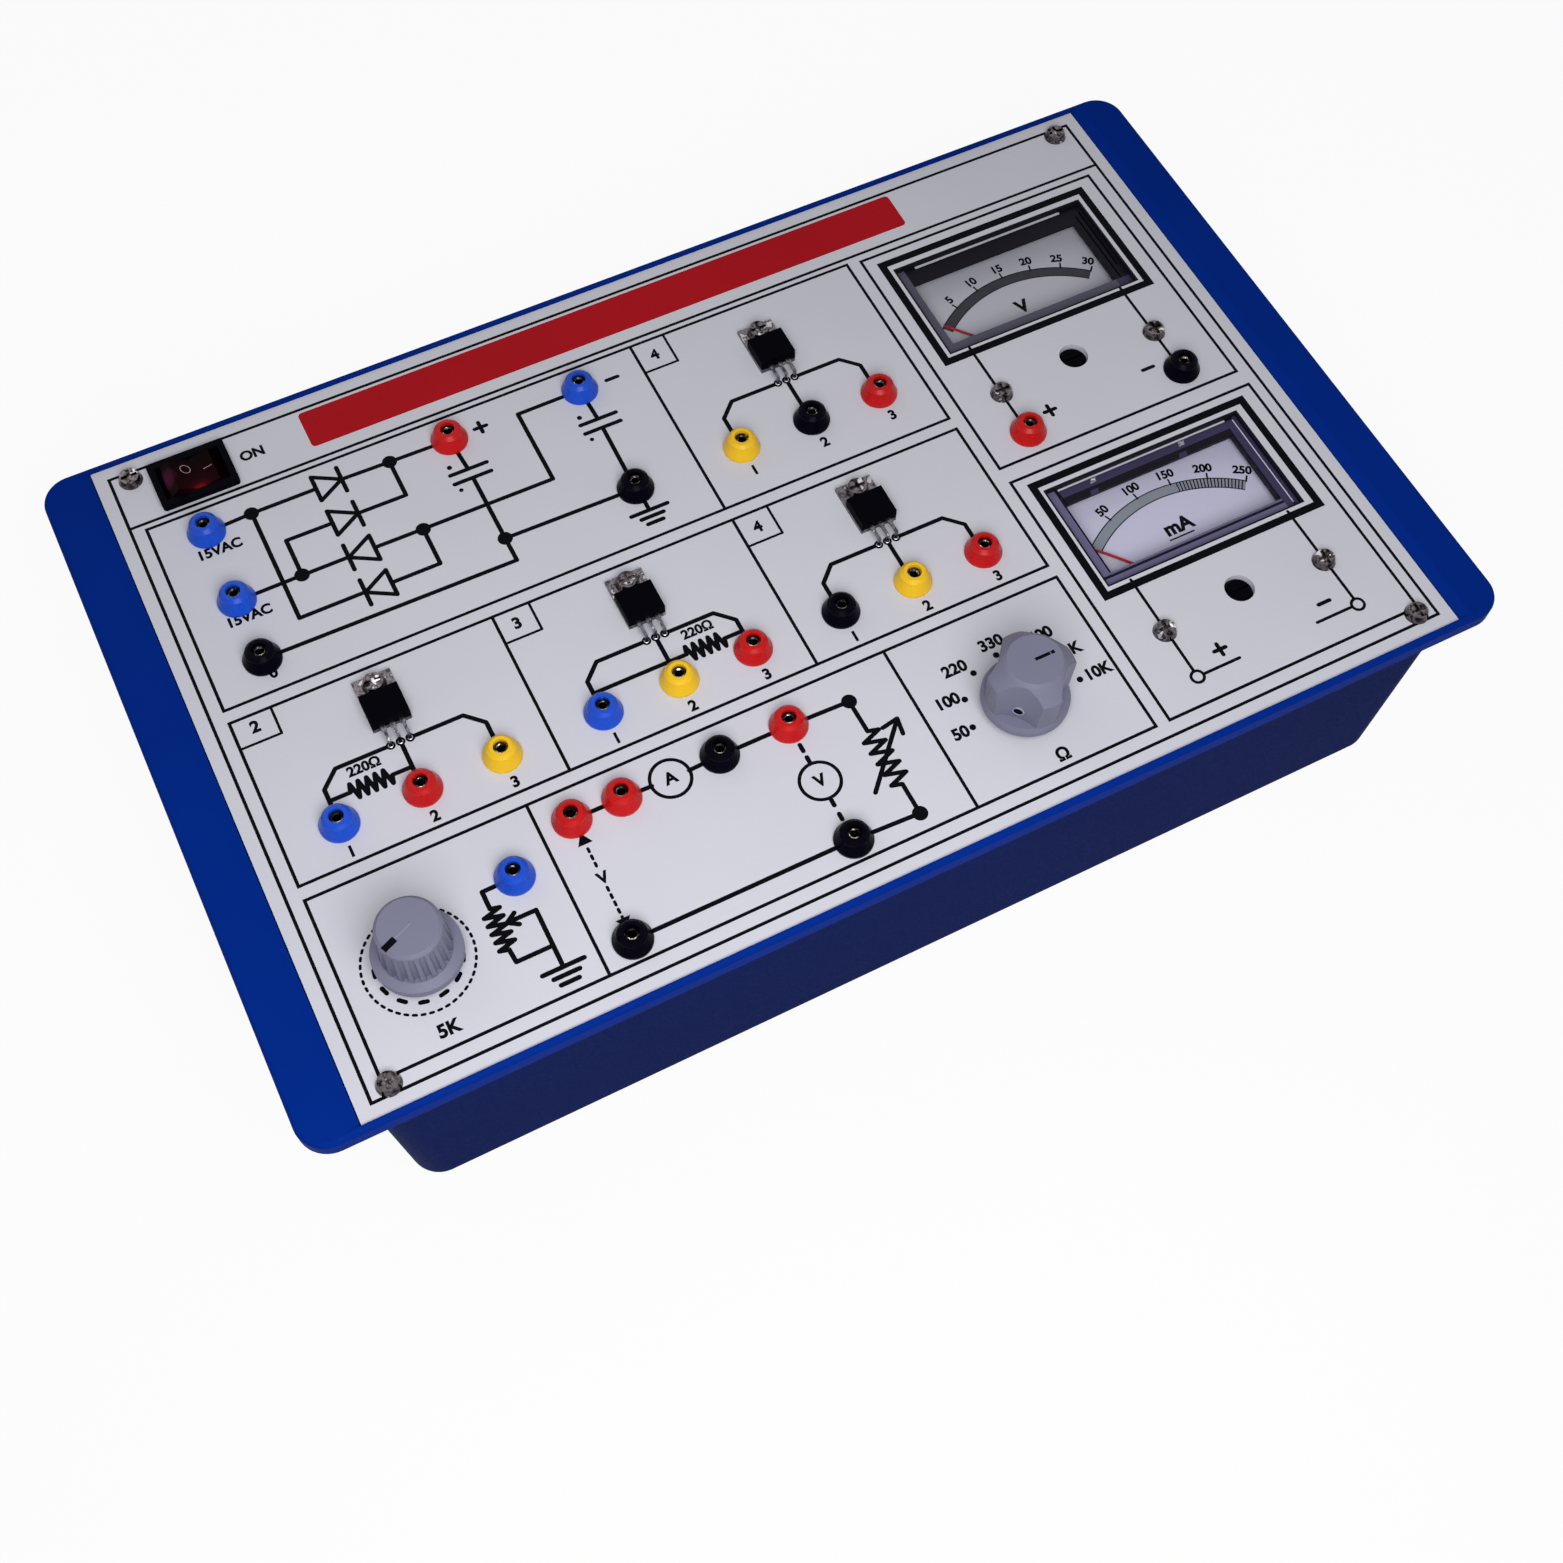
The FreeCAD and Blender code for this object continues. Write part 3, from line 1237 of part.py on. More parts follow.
# Meters: case, clear cover, bezel, dial, magnet, moving coil, needle, zero screw and fixings
def meters():
    centres = [on_panel(share) for share in METER_SHARES.values()]
    length = "meter_length - 2 * meter_wall"
    middle = "(meter_head - meter_tail) / 2"
    screws = [(f"{sign}meter_screw_spacing / 2", "-meter_screw_drop") for sign in ("", "-")]
    studs = [(f"{sign}stud_spacing / 2", "-stud_drop") for sign in ("", "-")]
    bezel_bottom = "meter_rim - meter_bezel_thickness"
    outer = block("meter_outer", "meter_length", "meter_width", "meter_depth", y=middle)
    inner = block("meter_inner", length, "meter_width - 2 * meter_wall", "meter_depth", y=middle,
                  z="meter_wall")
    bosses = spread("meter_bosses", rod("meter_boss", "meter_boss_radius",
                                        "meter_depth - meter_bezel_thickness - meter_wall"),
                    screws, "meter_wall")
    rests = [(f"{a}(dial_length / 2 - dial_post_inset)", f"{b}(dial_width / 2 - dial_post_inset)")
             for a in ("", "-") for b in ("", "-")]
    posts = spread("dial_posts", rod("dial_post", "dial_post_radius",
                                     "meter_depth - dial_drop - dial_thickness - meter_wall"),
                   rests, "meter_wall")
    space = cut("meter_space", inner, [bosses, posts])
    threads = spread("meter_threads", rod("meter_thread", "thread_radius + shaft_gap",
                                          "short_screw"), screws,
                     "meter_depth - short_screw")
    stud_holes = spread("stud_holes", rod("stud_hole", "stud_radius + shaft_gap",
                                          "meter_wall + 2 * overrun"), studs, "-overrun")
    case = cut("meter_case_model", outer, [space, threads, stud_holes])
    node("meter_cases", spread("meter_case_set", case, centres, "meter_floor"))
    stud = join("stud_model", [
        rod("stud_rod", "stud_radius", "stud_length + meter_wall", z="-stud_length"),
        hexagon("stud_nut", "stud_nut_radius", "stud_nut_height", z="-stud_nut_height"),
    ])
    ends = [(f"{x} + {a}", f"{y} + {b}") for x, y in centres for a, b in studs]
    node("meter_studs", spread("stud_set", stud, ends, "meter_floor"))
    plate = block("bezel_plate", f"{length} - 2 * fit_gap",
                  "meter_width - 2 * (meter_wall + fit_gap)", "meter_bezel_thickness - glass_gap",
                  y=middle)
    through = "meter_bezel_thickness + 2 * overrun"
    window = block("bezel_window", "meter_view_length", "meter_view_width", through,
                   z="-overrun")
    eye = rod("bezel_eye", "zero_hole_radius", through, y="-meter_pivot_drop", z="-overrun")
    drills = spread("bezel_drills", rod("bezel_drill", "screw_hole_radius", through), screws,
                    "-overrun")
    bezel = cut("bezel_model", plate, [window, eye, drills])
    node("meter_bezels", spread("bezel_set", bezel, centres, bezel_bottom))
    glass = block("cover_plate", "meter_length", "meter_width", "meter_cover_thickness", y=middle)
    through = "meter_cover_thickness + 2 * overrun"
    pierced = [
        rod("cover_eye", "zero_shank_radius + shaft_gap", through, y="-meter_pivot_drop",
            z="-overrun"),
        spread("cover_drills", rod("cover_drill", "screw_hole_radius", through), screws,
               "-overrun"),
    ]
    cover = cut("meter_cover_model", glass, pierced)
    node("meter_covers", spread("meter_cover_set", cover, centres, "meter_rim"))
    dial = block("dial_plate", "dial_length", "dial_width", "dial_thickness")
    node("meter_dials", spread("dial_set", dial, centres, "dial_top - dial_thickness"))
    spots = [(f"{x} + {a}", f"{y} + {b}") for x, y in centres for a, b in screws]
    node("meter_screws", spread("meter_screw_set", pan_screw("meter_screw_model", "short_screw"),
                                spots, "panel_top"))
    pivots = [(x, f"{y} - meter_pivot_drop") for x, y in centres]
    node("meter_magnets", spread("magnet_set", magnet_system(), pivots, "0"))
    coil, needle = moving_coil(), meter_needle()
    screw = zero_screw()
    for name, (x, y) in zip(METER_SHARES, pivots):
        turn = (Z_AXIS, NEEDLE_REST)
        node(f"{name}_movement", group(f"{name}_coil", [copy(f"{name}_coil_turned", coil, x, y,
                                                             turn=turn)]))
        node(f"{name}_needle", group(f"{name}_hand", [copy(f"{name}_hand_turned", needle, x, y,
                                                           turn=turn)]))
        node(f"{name}_zero_screw", group(f"{name}_zero", [copy(f"{name}_zero_placed", screw, x,
                                                               y)]))


def magnet_system():
    """The magnet round its core, with the lower jewel and the bridge over the coil."""
    outer = block("yoke_outer", "yoke_length", "yoke_width", "yoke_height", z="yoke_bottom")
    bore = rod("yoke_bore", "yoke_bore_radius", "yoke_height + 2 * overrun",
               z="yoke_bottom - overrun")
    ring = cut("yoke_ring", outer, [bore])
    core = rod("yoke_core", "core_radius", "yoke_height", z="yoke_bottom")
    web = block("yoke_web", "web_width", "yoke_width", "yoke_height", z="yoke_bottom")
    floor = "meter_floor + meter_wall"
    edge = "yoke_length / 2 - bridge_foot / 2"
    feet = [
        block(f"yoke_foot_{k}", "bridge_foot", "yoke_width", "yoke_lift", f"{sign}({edge})",
              z=floor) for k, sign in enumerate(("", "-"))
    ]
    magnet = join("yoke_whole", [ring, core, web, *feet])
    rise = "2 * coil_gap + coil_bar"
    legs = [
        block(f"bridge_leg_{k}", "bridge_foot", "bridge_width", rise, f"{sign}({edge})",
              z="yoke_top") for k, sign in enumerate(("", "-"))
    ]
    span = block("bridge_span", "yoke_length", "bridge_width", "bridge_thickness",
                 z=f"yoke_top + {rise}")
    eye = rod("bridge_eye", "spindle_radius + spindle_gap", "bridge_thickness + 2 * overrun",
              z=f"yoke_top + {rise} - overrun")
    bridge = cut("bridge_model", join("bridge_blank", [*legs, span]), [eye])
    jewel = cut("jewel_model", rod("jewel_blank", "jewel_radius", "jewel_height", z=floor), [
        rod("jewel_bore", "spindle_radius + spindle_gap", "jewel_height",
            z="spindle_bottom - spindle_gap"),
    ])
    return group("magnet_model", [magnet, bridge, jewel])


def moving_coil():
    """The coil's loop with its two half spindles."""
    low = "yoke_bottom - coil_gap - coil_bar"
    loop = cut("coil_loop", block("coil_outer", "2 * coil_outer_radius", "coil_width",
                                  "yoke_height + 2 * (coil_gap + coil_bar)", z=low), [
        block("coil_inner", "2 * coil_inner_radius", "coil_width + 2 * overrun",
              "yoke_height + 2 * coil_gap", z="yoke_bottom - coil_gap"),
    ])
    lower = rod("spindle_lower", "spindle_radius", f"{low} + coil_bar / 2 - spindle_bottom",
                z="spindle_bottom")
    upper = rod("spindle_upper", "spindle_radius",
                "needle_level + needle_hub_height - yoke_top - coil_gap - coil_bar / 2",
                z="yoke_top + coil_gap + coil_bar / 2")
    return join("coil_model", [loop, lower, upper])


def meter_needle():
    """The hub, the needle and its counterweight, along Y."""
    hub = rod("needle_hub", "needle_hub_radius", "needle_hub_height", z="needle_level")
    level = "needle_level + needle_hub_height / 2"
    blade = block("needle_blade", "needle_width", "needle_length", "needle_thickness",
                  y="needle_length / 2", z=level)
    tail = block("needle_tail_bar", "2 * needle_width", "needle_tail", "needle_thickness",
                 y="-needle_tail / 2", z=level)
    eye = rod("needle_eye", "spindle_radius + shaft_gap / 5", "needle_hub_height + 2 * overrun",
              z="needle_level - overrun")
    return cut("needle_model", join("needle_blank", [hub, blade, tail]), [eye])


def zero_screw():
    """The slotted screw that sets the needle's zero, in its hole in the cover."""
    head = rod("zero_head", "zero_head_radius", "zero_head_height", z="panel_bottom + shaft_gap")
    shank = rod("zero_shank", "zero_shank_radius", "zero_shank_length + shaft_gap",
                z="panel_bottom - zero_shank_length")
    slot = block("zero_slot", "2 * zero_head_radius", "zero_slot_width",
                 "zero_slot_depth + overrun",
                 z="panel_bottom + shaft_gap + zero_head_height - zero_slot_depth")
    return cut("zero_screw_model", join("zero_blank", [head, shank]), [slot])


# Transformer: core, winding and strap
def transformer():
    x, y = on_panel(TRANSFORMER_SHARE)
    window_x = "(core_leg + core_window_length) / 2"
    core = block("core_blank", "core_length", "core_width", "core_height", z="floor_top")
    low = "floor_top + (core_height - core_window_height) / 2"
    windows = [
        block(f"core_window_{k}", "core_window_length", "core_width + 2 * overrun",
              "core_window_height", f"{sign}({window_x})", z=low)
        for k, sign in enumerate(("", "-"))
    ]
    node("transformer_core", put(cut("core_cut", core, windows), x, y))
    coil = slab("winding_blank", "core_leg + 2 * (core_window_length - winding_gap)",
                "winding_width", "core_window_height - 2 * winding_gap", "box_wall",
                z=f"{low} + winding_gap")
    leg = block("winding_hole", "core_leg + 2 * winding_gap", "core_width + 2 * winding_gap",
                "core_window_height + 2 * overrun", z=low)
    node("transformer_winding", put(cut("winding_cut", coil, [leg]), x, y))
    top = "core_height + strap_thickness"
    arch = block("strap_outer", "core_length + 2 * strap_thickness", "core_width", top,
                 z="floor_top")
    feet = block("strap_feet", "2 * post_x + strap_foot", "core_width", "strap_thickness",
                 z="floor_top + strap_post_height")
    inside = block("strap_inside", "core_length", "core_width + 2 * overrun",
                   "core_height + overrun", z="floor_top - overrun")
    below = block("strap_below", "2 * post_x + strap_foot", "core_width + 2 * overrun",
                  "strap_post_height + overrun", z="floor_top - overrun")
    drills = [
        rod(f"strap_drill_{k}", "screw_hole_radius", "strap_thickness + 2 * overrun",
            f"{sign}post_x", z="floor_top + strap_post_height - overrun")
        for k, sign in enumerate(("", "-"))
    ]
    strap = cut("strap_cut", join("strap_blank", [arch, feet]), [inside, below, *drills])
    node("transformer_strap", put(strap, x, y))


# Circuit board with the rectifier and the filter capacitors
def circuit_board():
    x, y = on_panel(BOARD_SHARE)
    plate = block("board_plate", "board_length", "board_width", "board_thickness",
                  z="board_bottom")
    drill = rod("board_drill", "screw_hole_radius", "board_thickness + 2 * overrun")
    drills = spread("board_drills", drill, BOARD_CORNERS, "board_bottom - overrun")
    node("circuit_board", put(cut("board_cut", plate, [drills]), x, y))
    level = "board_top + diode_lift + diode_radius"
    reach = "diode_length / 2 + diode_lead_reach"
    body = rod("diode_body", "diode_radius", "diode_length", "-diode_length / 2", z=level,
               along="X")
    wire = rod("diode_wire", "resistor_lead_radius", f"2 * ({reach})", f"-({reach})", z=level,
               along="X")
    legs = [
        rod(f"diode_leg_{k}", "resistor_lead_radius", "diode_lift + diode_radius",
            f"{sign}({reach} - 2 * resistor_lead_radius)", z="board_top")
        for k, sign in enumerate(("", "-"))
    ]
    diode = join("diode_model", [body, wire, *legs])
    rows = [(f"{x} - board_length / 4", f"{y} + {k} * diode_spacing") for k in (-1.5, -0.5, 0.5, 1.5)]
    node("rectifier_diodes", spread("diode_set", diode, rows, "0"))
    can = rod("capacitor_can", "capacitor_radius", "capacitor_height")
    pair = [(f"{x} + board_length / 5", f"{y} {sign} capacitor_spacing / 2") for sign in "-+"]
    node("filter_capacitors", spread("capacitor_set", can, pair, "board_top"))
    strap_x, strap_y = on_panel(TRANSFORMER_SHARE)
    screw = pan_screw("floor_screw_model", "floor_screw")
    held = [(f"{x} + {a}", f"{y} + {b}") for a, b in BOARD_CORNERS]
    straps = [(f"{strap_x} {sign} post_x", strap_y) for sign in "-+"]
    node("floor_screws", group("floor_screw_set", [
        spread("board_screw_set", screw, held, "board_top"),
        spread("strap_screw_set", screw, straps, "floor_top + strap_post_height + strap_thickness"),
    ]))


# Mains inlet with its pins, fuse drawer and fuse, built facing +Y from the middle of its seat
def mains_inlet():
    x = f"panel_length * ({INLET_SHARE})"
    whole = "inlet_depth + inlet_flange"
    middle = "inlet_flange - (inlet_depth + inlet_flange) / 2"
    flange = upright_plate("inlet_flange_plate", "inlet_length", "inlet_flange", "inlet_height",
                           "inlet_flange_corner", "inlet_flange / 2")
    body = block("inlet_body", "inlet_body_length", whole, "inlet_body_height", y=middle,
                 z="-inlet_body_height / 2")
    latches = [
        block(f"inlet_latch_{k}", "2 * inlet_latch", "inlet_latch_width", "inlet_body_height / 2",
              f"{sign}inlet_body_length / 2", "-box_wall - wall_grip - inlet_latch_width",
              "-inlet_body_height / 4") for k, sign in enumerate(("", "-"))
    ]
    well = upright_plate("inlet_well", "inlet_well_length", "inlet_well_depth + overrun",
                         "inlet_well_height", "inlet_flange_corner",
                         "inlet_flange - (inlet_well_depth - overrun) / 2", "-inlet_well_drop")
    slot = block("drawer_slot", "drawer_length", "drawer_depth + drawer_gap + overrun",
                 "drawer_height", y="inlet_flange - (drawer_depth + drawer_gap - overrun) / 2",
                 z="drawer_rise - drawer_height / 2")
    back = "inlet_flange - inlet_well_depth"
    spots = [(f"{k} * pin_spacing / 2", f"pin_stagger * ({1 if k == 0 else 0})") for k in (-1, 0, 1)]
    holes = [
        block(f"pin_hole_{k}", "pin_thickness", "inlet_depth", "pin_width", a, f"{back} - inlet_depth / 2",
              f"{b} - inlet_well_drop - pin_stagger / 2 - pin_width / 2")
        for k, (a, b) in enumerate(spots)
    ]
    shell = cut("inlet_shell", join("inlet_blank", [flange, body, *latches]), [well, slot, *holes])
    node("mains_inlet", put(shell, x, "inlet_seat", "inlet_level"))
    pins = [
        block(f"inlet_pin_{k}", "pin_thickness", "pin_length + pin_root", "pin_width", a,
              f"{back} + (pin_length - pin_root) / 2",
              f"{b} - inlet_well_drop - pin_stagger / 2 - pin_width / 2")
        for k, (a, b) in enumerate(spots)
    ]
    node("inlet_pins", put(group("inlet_pin_set", pins), x, "inlet_seat", "inlet_level"))
    tray_height = "drawer_height - 2 * drawer_gap"
    tray = block("drawer_blank", "drawer_length - 2 * drawer_gap", "drawer_depth", tray_height,
                 y="inlet_flange - drawer_depth / 2", z=f"drawer_rise - ({tray_height}) / 2")
    nest = block("drawer_nest", "fuse_length + 2 * fit_gap", "2 * (fuse_radius + fit_gap)",
                 "drawer_height", y="inlet_flange - drawer_face - fuse_radius - fit_gap",
                 z=f"drawer_rise - ({tray_height}) / 2 + drawer_wall")
    drawer = cut("drawer_cut", tray, [nest])
    node("fuse_drawer", put(drawer, x, "inlet_seat", "inlet_level"))
    glass = rod("fuse_glass", "fuse_radius - fuse_glass_inset", "fuse_length - 2 * fuse_cap_length",
                "fuse_cap_length - fuse_length / 2", along="X")
    caps = [
        rod(f"fuse_cap_{k}", "fuse_radius", "fuse_cap_length", start, along="X")
        for k, start in enumerate(("-fuse_length / 2", "fuse_length / 2 - fuse_cap_length"))
    ]
    rest = f"drawer_rise - ({tray_height}) / 2 + drawer_wall + fuse_radius"
    node("fuse_link", put(group("fuse_model", [glass, *caps]), x,
                          "inlet_face - drawer_face - fuse_radius - fit_gap",
                          f"inlet_level + {rest}"))


def upright_plate(name, length, depth, height, corner, y, z="0"):
    """A plate that faces Y, with its corners rounded in that view."""
    plain = block(f"{name}_plain", length, depth, height, y=y, z=f"{z} - ({height}) / 2")
    return fillet(name, plain, lambda edge: edge.BoundBox.YLength > number(depth) / 2, corner)


for build in (base_box, top_cover, front_panel, fastening, rocker_switch, sockets, regulators,
              potentiometer, load_selector, meters, transformer, circuit_board, mains_inlet):
    build()
doc.recompute()

failed = [piece.Name for piece in doc.Objects if {"Invalid", "Error"} & set(piece.State)]
failed += [piece.Label for piece in NODES if piece.Shape.isNull() or not piece.Shape.isValid()]
if failed:
    raise ValueError(f"no valid shape: {failed}")

os.makedirs("parts", exist_ok=True)
for piece in NODES:
    piece.Shape.exportStep(f"parts/{piece.Label}.step")
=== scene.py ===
import json
import math

import bmesh
import bpy
from mathutils import Matrix, Vector


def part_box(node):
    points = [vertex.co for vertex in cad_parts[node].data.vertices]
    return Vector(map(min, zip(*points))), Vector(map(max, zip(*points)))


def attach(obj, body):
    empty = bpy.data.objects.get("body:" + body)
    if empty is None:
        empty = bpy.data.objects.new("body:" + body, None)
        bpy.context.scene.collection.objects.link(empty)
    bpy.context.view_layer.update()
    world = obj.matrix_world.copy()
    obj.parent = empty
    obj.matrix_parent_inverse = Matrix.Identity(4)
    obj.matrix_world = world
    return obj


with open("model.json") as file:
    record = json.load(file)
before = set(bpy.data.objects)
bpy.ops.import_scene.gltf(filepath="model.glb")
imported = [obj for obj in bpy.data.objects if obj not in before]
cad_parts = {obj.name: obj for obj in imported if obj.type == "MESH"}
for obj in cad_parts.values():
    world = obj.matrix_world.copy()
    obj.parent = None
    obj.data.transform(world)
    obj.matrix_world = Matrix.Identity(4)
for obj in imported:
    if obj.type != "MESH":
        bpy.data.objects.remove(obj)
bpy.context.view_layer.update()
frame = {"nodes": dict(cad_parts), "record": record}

MM = 0.001

# Levels of the surfaces that carry print, in metres
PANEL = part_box("front_panel")[1].z
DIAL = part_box("meter_dials")[1].z
MARKS = DIAL + 0.03 * MM
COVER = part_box("meter_covers")[1].z
POT_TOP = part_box("pot_knob")[1].z
LOAD_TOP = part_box("load_knob")[1].z

# Print lies a lift above its surface, and each face a step above the one before
LIFT = 0.02 * MM
STEP = 0.0006 * MM
STEPS_BEFORE_REPEAT = 60

# Sizes from here on are in millimetres: widths of strokes first
WIRE = 1.2
FRAME = 0.85
METER_FRAME = 2.2
SECTION_FRAME = 0.7
SIGN = 1.1
ARROW = 0.8
SEAM = 0.16
ROCKER_SIGN = 0.22

# Signs of the printed circuit
JUNCTION = 2.0
PLATE_HALF = 5.2
GROUND_BARS = (5.2, 3.2, 2.2)
POT_GROUND_BARS = (5.3, 3.3, 2.3)
GROUND_STEP = 2.0
ZIGZAG_SWING = 2.2
ZIGZAG_PEAKS = 5
DIODE = (7.1, 8.2)
INSTRUMENT_RING = (4.7, 5.6)
SIGN_HALF = 1.7
CAPITAL_SHARE = 0.72
STROKE_SHARE = 0.1

# Places on the panel
POT_RING = (-124.0, -67.1)
LOAD_RING = (37.5, -70.3)
POT_AXIS = (-123.4, -67.1)
POT_POINTER = 203
POINTER_DEPTH = 0.28
POINTER_SINK = 0.04
LOAD_AXIS = (36.45, -70.17)
LOAD_DOT_RADIUS = 15.5
PIVOTS = {"voltmeter": (104.2, 19.0), "ammeter": (104.2, -65.1)}
WINDOWS = {"voltmeter": (104.2, 51.0), "ammeter": (104.2, -33.1)}
REGULATOR_HOLES = ((29.0, 46.1), (-106.4, -11.7), (-37.6, -12.2), (29.0, -12.3))
LEAD_PITCH = 2.54
LEAD_RING = (0.6, 1.22)
LEAD_WIRE_START = 3.6
LEAD_WIRE_SLANT = (4.4, 4.3)
MIDDLE_WIRE_DROP = 1.1
BANNER = (-93.3, 82.2, 84.1, 91.8)
BANNER_CORNER = 1.2

# The rocker's axis, its tilt at rest, the slope of each face, and the spots of its painted glow and
# its painted highlight on the left end
ROCKER_AXIS = (-125.8, 85.7, 64.0)
ROCKER_REST = 8
ROCKER_SLOPE = math.atan2(2.0, 5.4)
ROCKER_FACE_RISE = 2.2
ROCKER_GLOW_SPOT = (-125.3, 80.2, 66.0)
ROCKER_END_HIGHLIGHT = (-132.6, 86.0, 67.4)

# Meters: the needles' rest angle from upright, the bands, and the window with its black sheets of
# painted shade, the strips on its cover and its clips
NEEDLE_REST = 40
NEEDLE_CORNER = 0.42
NEEDLE_TIPS = {"voltmeter": 1.0, "ammeter": 2.4}
BAND = 3.0
BAND_LINE = 0.15
NUMBER_GAP = 6.3
NUMBER_SPREAD = 0.95
NUMBER_LEAN = 0.8
WINDOW_HALF = (30.47, 16.72)
SHADE_SHEET_HALF = (30.0, 16.25)
STRIP_HEIGHT = 0.3
CLIP_HEIGHT = 0.5
CLIP_LEAN = 0.45
CLIP_OFFSET = 0.6

# Camera, fitted to the photograph: place in metres, then its right, up and back
CAMERA_LENS = 43.855
CAMERA_PLACE = (-0.1289, -0.2450, PANEL + 0.4153)
CAMERA_AXES = ((0.89263, -0.45032, 0.02060), (0.39434, 0.80217, 0.44835),
               (-0.21842, -0.39209, 0.89362))

SOCKET = {m["name"].replace("_socket_", ""): (m["pos_m"][0] / MM, m["pos_m"][1] / MM)
          for m in frame["record"]["mounts"] if "_socket_" in m["name"]}


# Colours
def srgb(*parts):
    """A colour written as 0 to 255 steps, as the shaders want it."""
    return tuple((c / 255 / 12.92 if c <= 10 else ((c / 255 + 0.055) / 1.055) ** 2.4)
                 for c in parts) + (1.0,)


def shaded(colour, factor):
    """The same colour, lighter or darker."""
    return tuple(min(1.0, c * factor) for c in colour[:3]) + (1.0,)


# Materials
def new_material(name):
    """A node material and its shader."""
    material = bpy.data.materials.new(name)
    material.use_nodes = True
    shader = material.node_tree.nodes["Principled BSDF"]
    return material, material.node_tree, shader


def noise(tree, scale, detail=3.0, stretch=(1, 1, 1)):
    """Noise over the object's own coordinates, in cells per metre."""
    place = tree.nodes.new("ShaderNodeTexCoord")
    spread = tree.nodes.new("ShaderNodeMapping")
    spread.inputs["Scale"].default_value = stretch
    grain = tree.nodes.new("ShaderNodeTexNoise")
    grain.inputs["Scale"].default_value = scale
    grain.inputs["Detail"].default_value = detail
    tree.links.new(place.outputs["Object"], spread.inputs["Vector"])
    tree.links.new(spread.outputs["Vector"], grain.inputs["Vector"])
    return grain.outputs["Fac"]


def ramp(tree, fac, *stops):
    """A colour that runs through stops of position and colour."""
    node = tree.nodes.new("ShaderNodeValToRGB")
    elements = node.color_ramp.elements
    elements[0].position, elements[0].color = stops[0]
    elements[1].position, elements[1].color = stops[-1]
    for position, colour in stops[1:-1]:
        elements.new(position).color = colour
    tree.links.new(fac, node.inputs["Fac"])
    return node.outputs["Color"]


def spread_value(tree, fac, socket, low, high):
    """A value that drifts between two levels."""
    span = tree.nodes.new("ShaderNodeMapRange")
    span.inputs["From Min"].default_value = 0.3
    span.inputs["From Max"].default_value = 0.7
    span.inputs["To Min"].default_value = low
    span.inputs["To Max"].default_value = high
    tree.links.new(fac, span.inputs["Value"])
    tree.links.new(span.outputs["Result"], socket)


def bump(tree, shader, fac, depth):
    """Surface relief of a depth in millimetres."""
    relief = tree.nodes.new("ShaderNodeBump")
    relief.inputs["Distance"].default_value = depth * MM
    tree.links.new(fac, relief.inputs["Height"])
    tree.links.new(relief.outputs["Normal"], shader.inputs["Normal"])


def distance_from(tree, x, y, z, reach):
    """0 at a point of the object and 1 at a reach from it, in millimetres."""
    place = tree.nodes.new("ShaderNodeTexCoord")
    away = tree.nodes.new("ShaderNodeVectorMath")
    away.operation = "DISTANCE"
    away.inputs[1].default_value = (x * MM, y * MM, z * MM)
    span = tree.nodes.new("ShaderNodeMapRange")
    span.inputs["From Max"].default_value = reach * MM
    tree.links.new(place.outputs["Object"], away.inputs[0])
    tree.links.new(away.outputs["Value"], span.inputs["Value"])
    return span.outputs["Result"]


def finish(name, colour, roughness, grain=900, depth=0.02, drift=0.06, metallic=0.0,
           stretch=(1, 1, 1), specular=0.2):
    """A plain surface: slow colour drift, uneven gloss and fine relief."""
    material, tree, shader = new_material(name)
    shader.inputs["Metallic"].default_value = metallic
    shader.inputs["Specular IOR Level"].default_value = specular
    slow = noise(tree, 26, 4)
    tone = ramp(tree, slow, (0.3, shaded(colour, 1 - drift)), (0.7, shaded(colour, 1 + drift)))
    tree.links.new(tone, shader.inputs["Base Color"])
    fine = noise(tree, grain, 3, stretch)
    spread_value(tree, fine, shader.inputs["Roughness"], roughness * 0.82, min(1, roughness * 1.18))
    bump(tree, shader, fine, depth)
    return material


def plating_with_painted_reflections(name, dark, middle, pale, cells, roughness, depth):
    """Bright plating with painted reflections: dark and light patches in its colour stand for the
    surroundings it mirrors.
    """
    material, tree, shader = new_material(name)
    shader.inputs["Metallic"].default_value = 1.0
    painted_reflection_patches = noise(tree, cells, 2.5)
    # Painted reflections: dark and pale patches laid in the colour
    tone = ramp(tree, painted_reflection_patches, (0.36, dark), (0.52, middle), (0.6, dark), (0.68, pale))
    tree.links.new(tone, shader.inputs["Base Color"])
    fine = noise(tree, 5 * cells, 2)
    spread_value(tree, fine, shader.inputs["Roughness"], roughness * 0.7, roughness * 1.3)
    bump(tree, shader, painted_reflection_patches, depth)
    return material


def glassy(name, colour, alpha, roughness, specular=0.5):
    """Clear or smoky plastic, thin enough to be seen through straight."""
    material, tree, shader = new_material(name)
    shader.inputs["Alpha"].default_value = alpha
    shader.inputs["Specular IOR Level"].default_value = specular
    slow = noise(tree, 40, 3)
    tone = ramp(tree, slow, (0.3, shaded(colour, 0.92)), (0.7, shaded(colour, 1.08)))
    tree.links.new(tone, shader.inputs["Base Color"])
    fine = noise(tree, 500)
    spread_value(tree, fine, shader.inputs["Roughness"], roughness * 0.7, roughness * 1.3)
    bump(tree, shader, fine, 0.003)
    return material


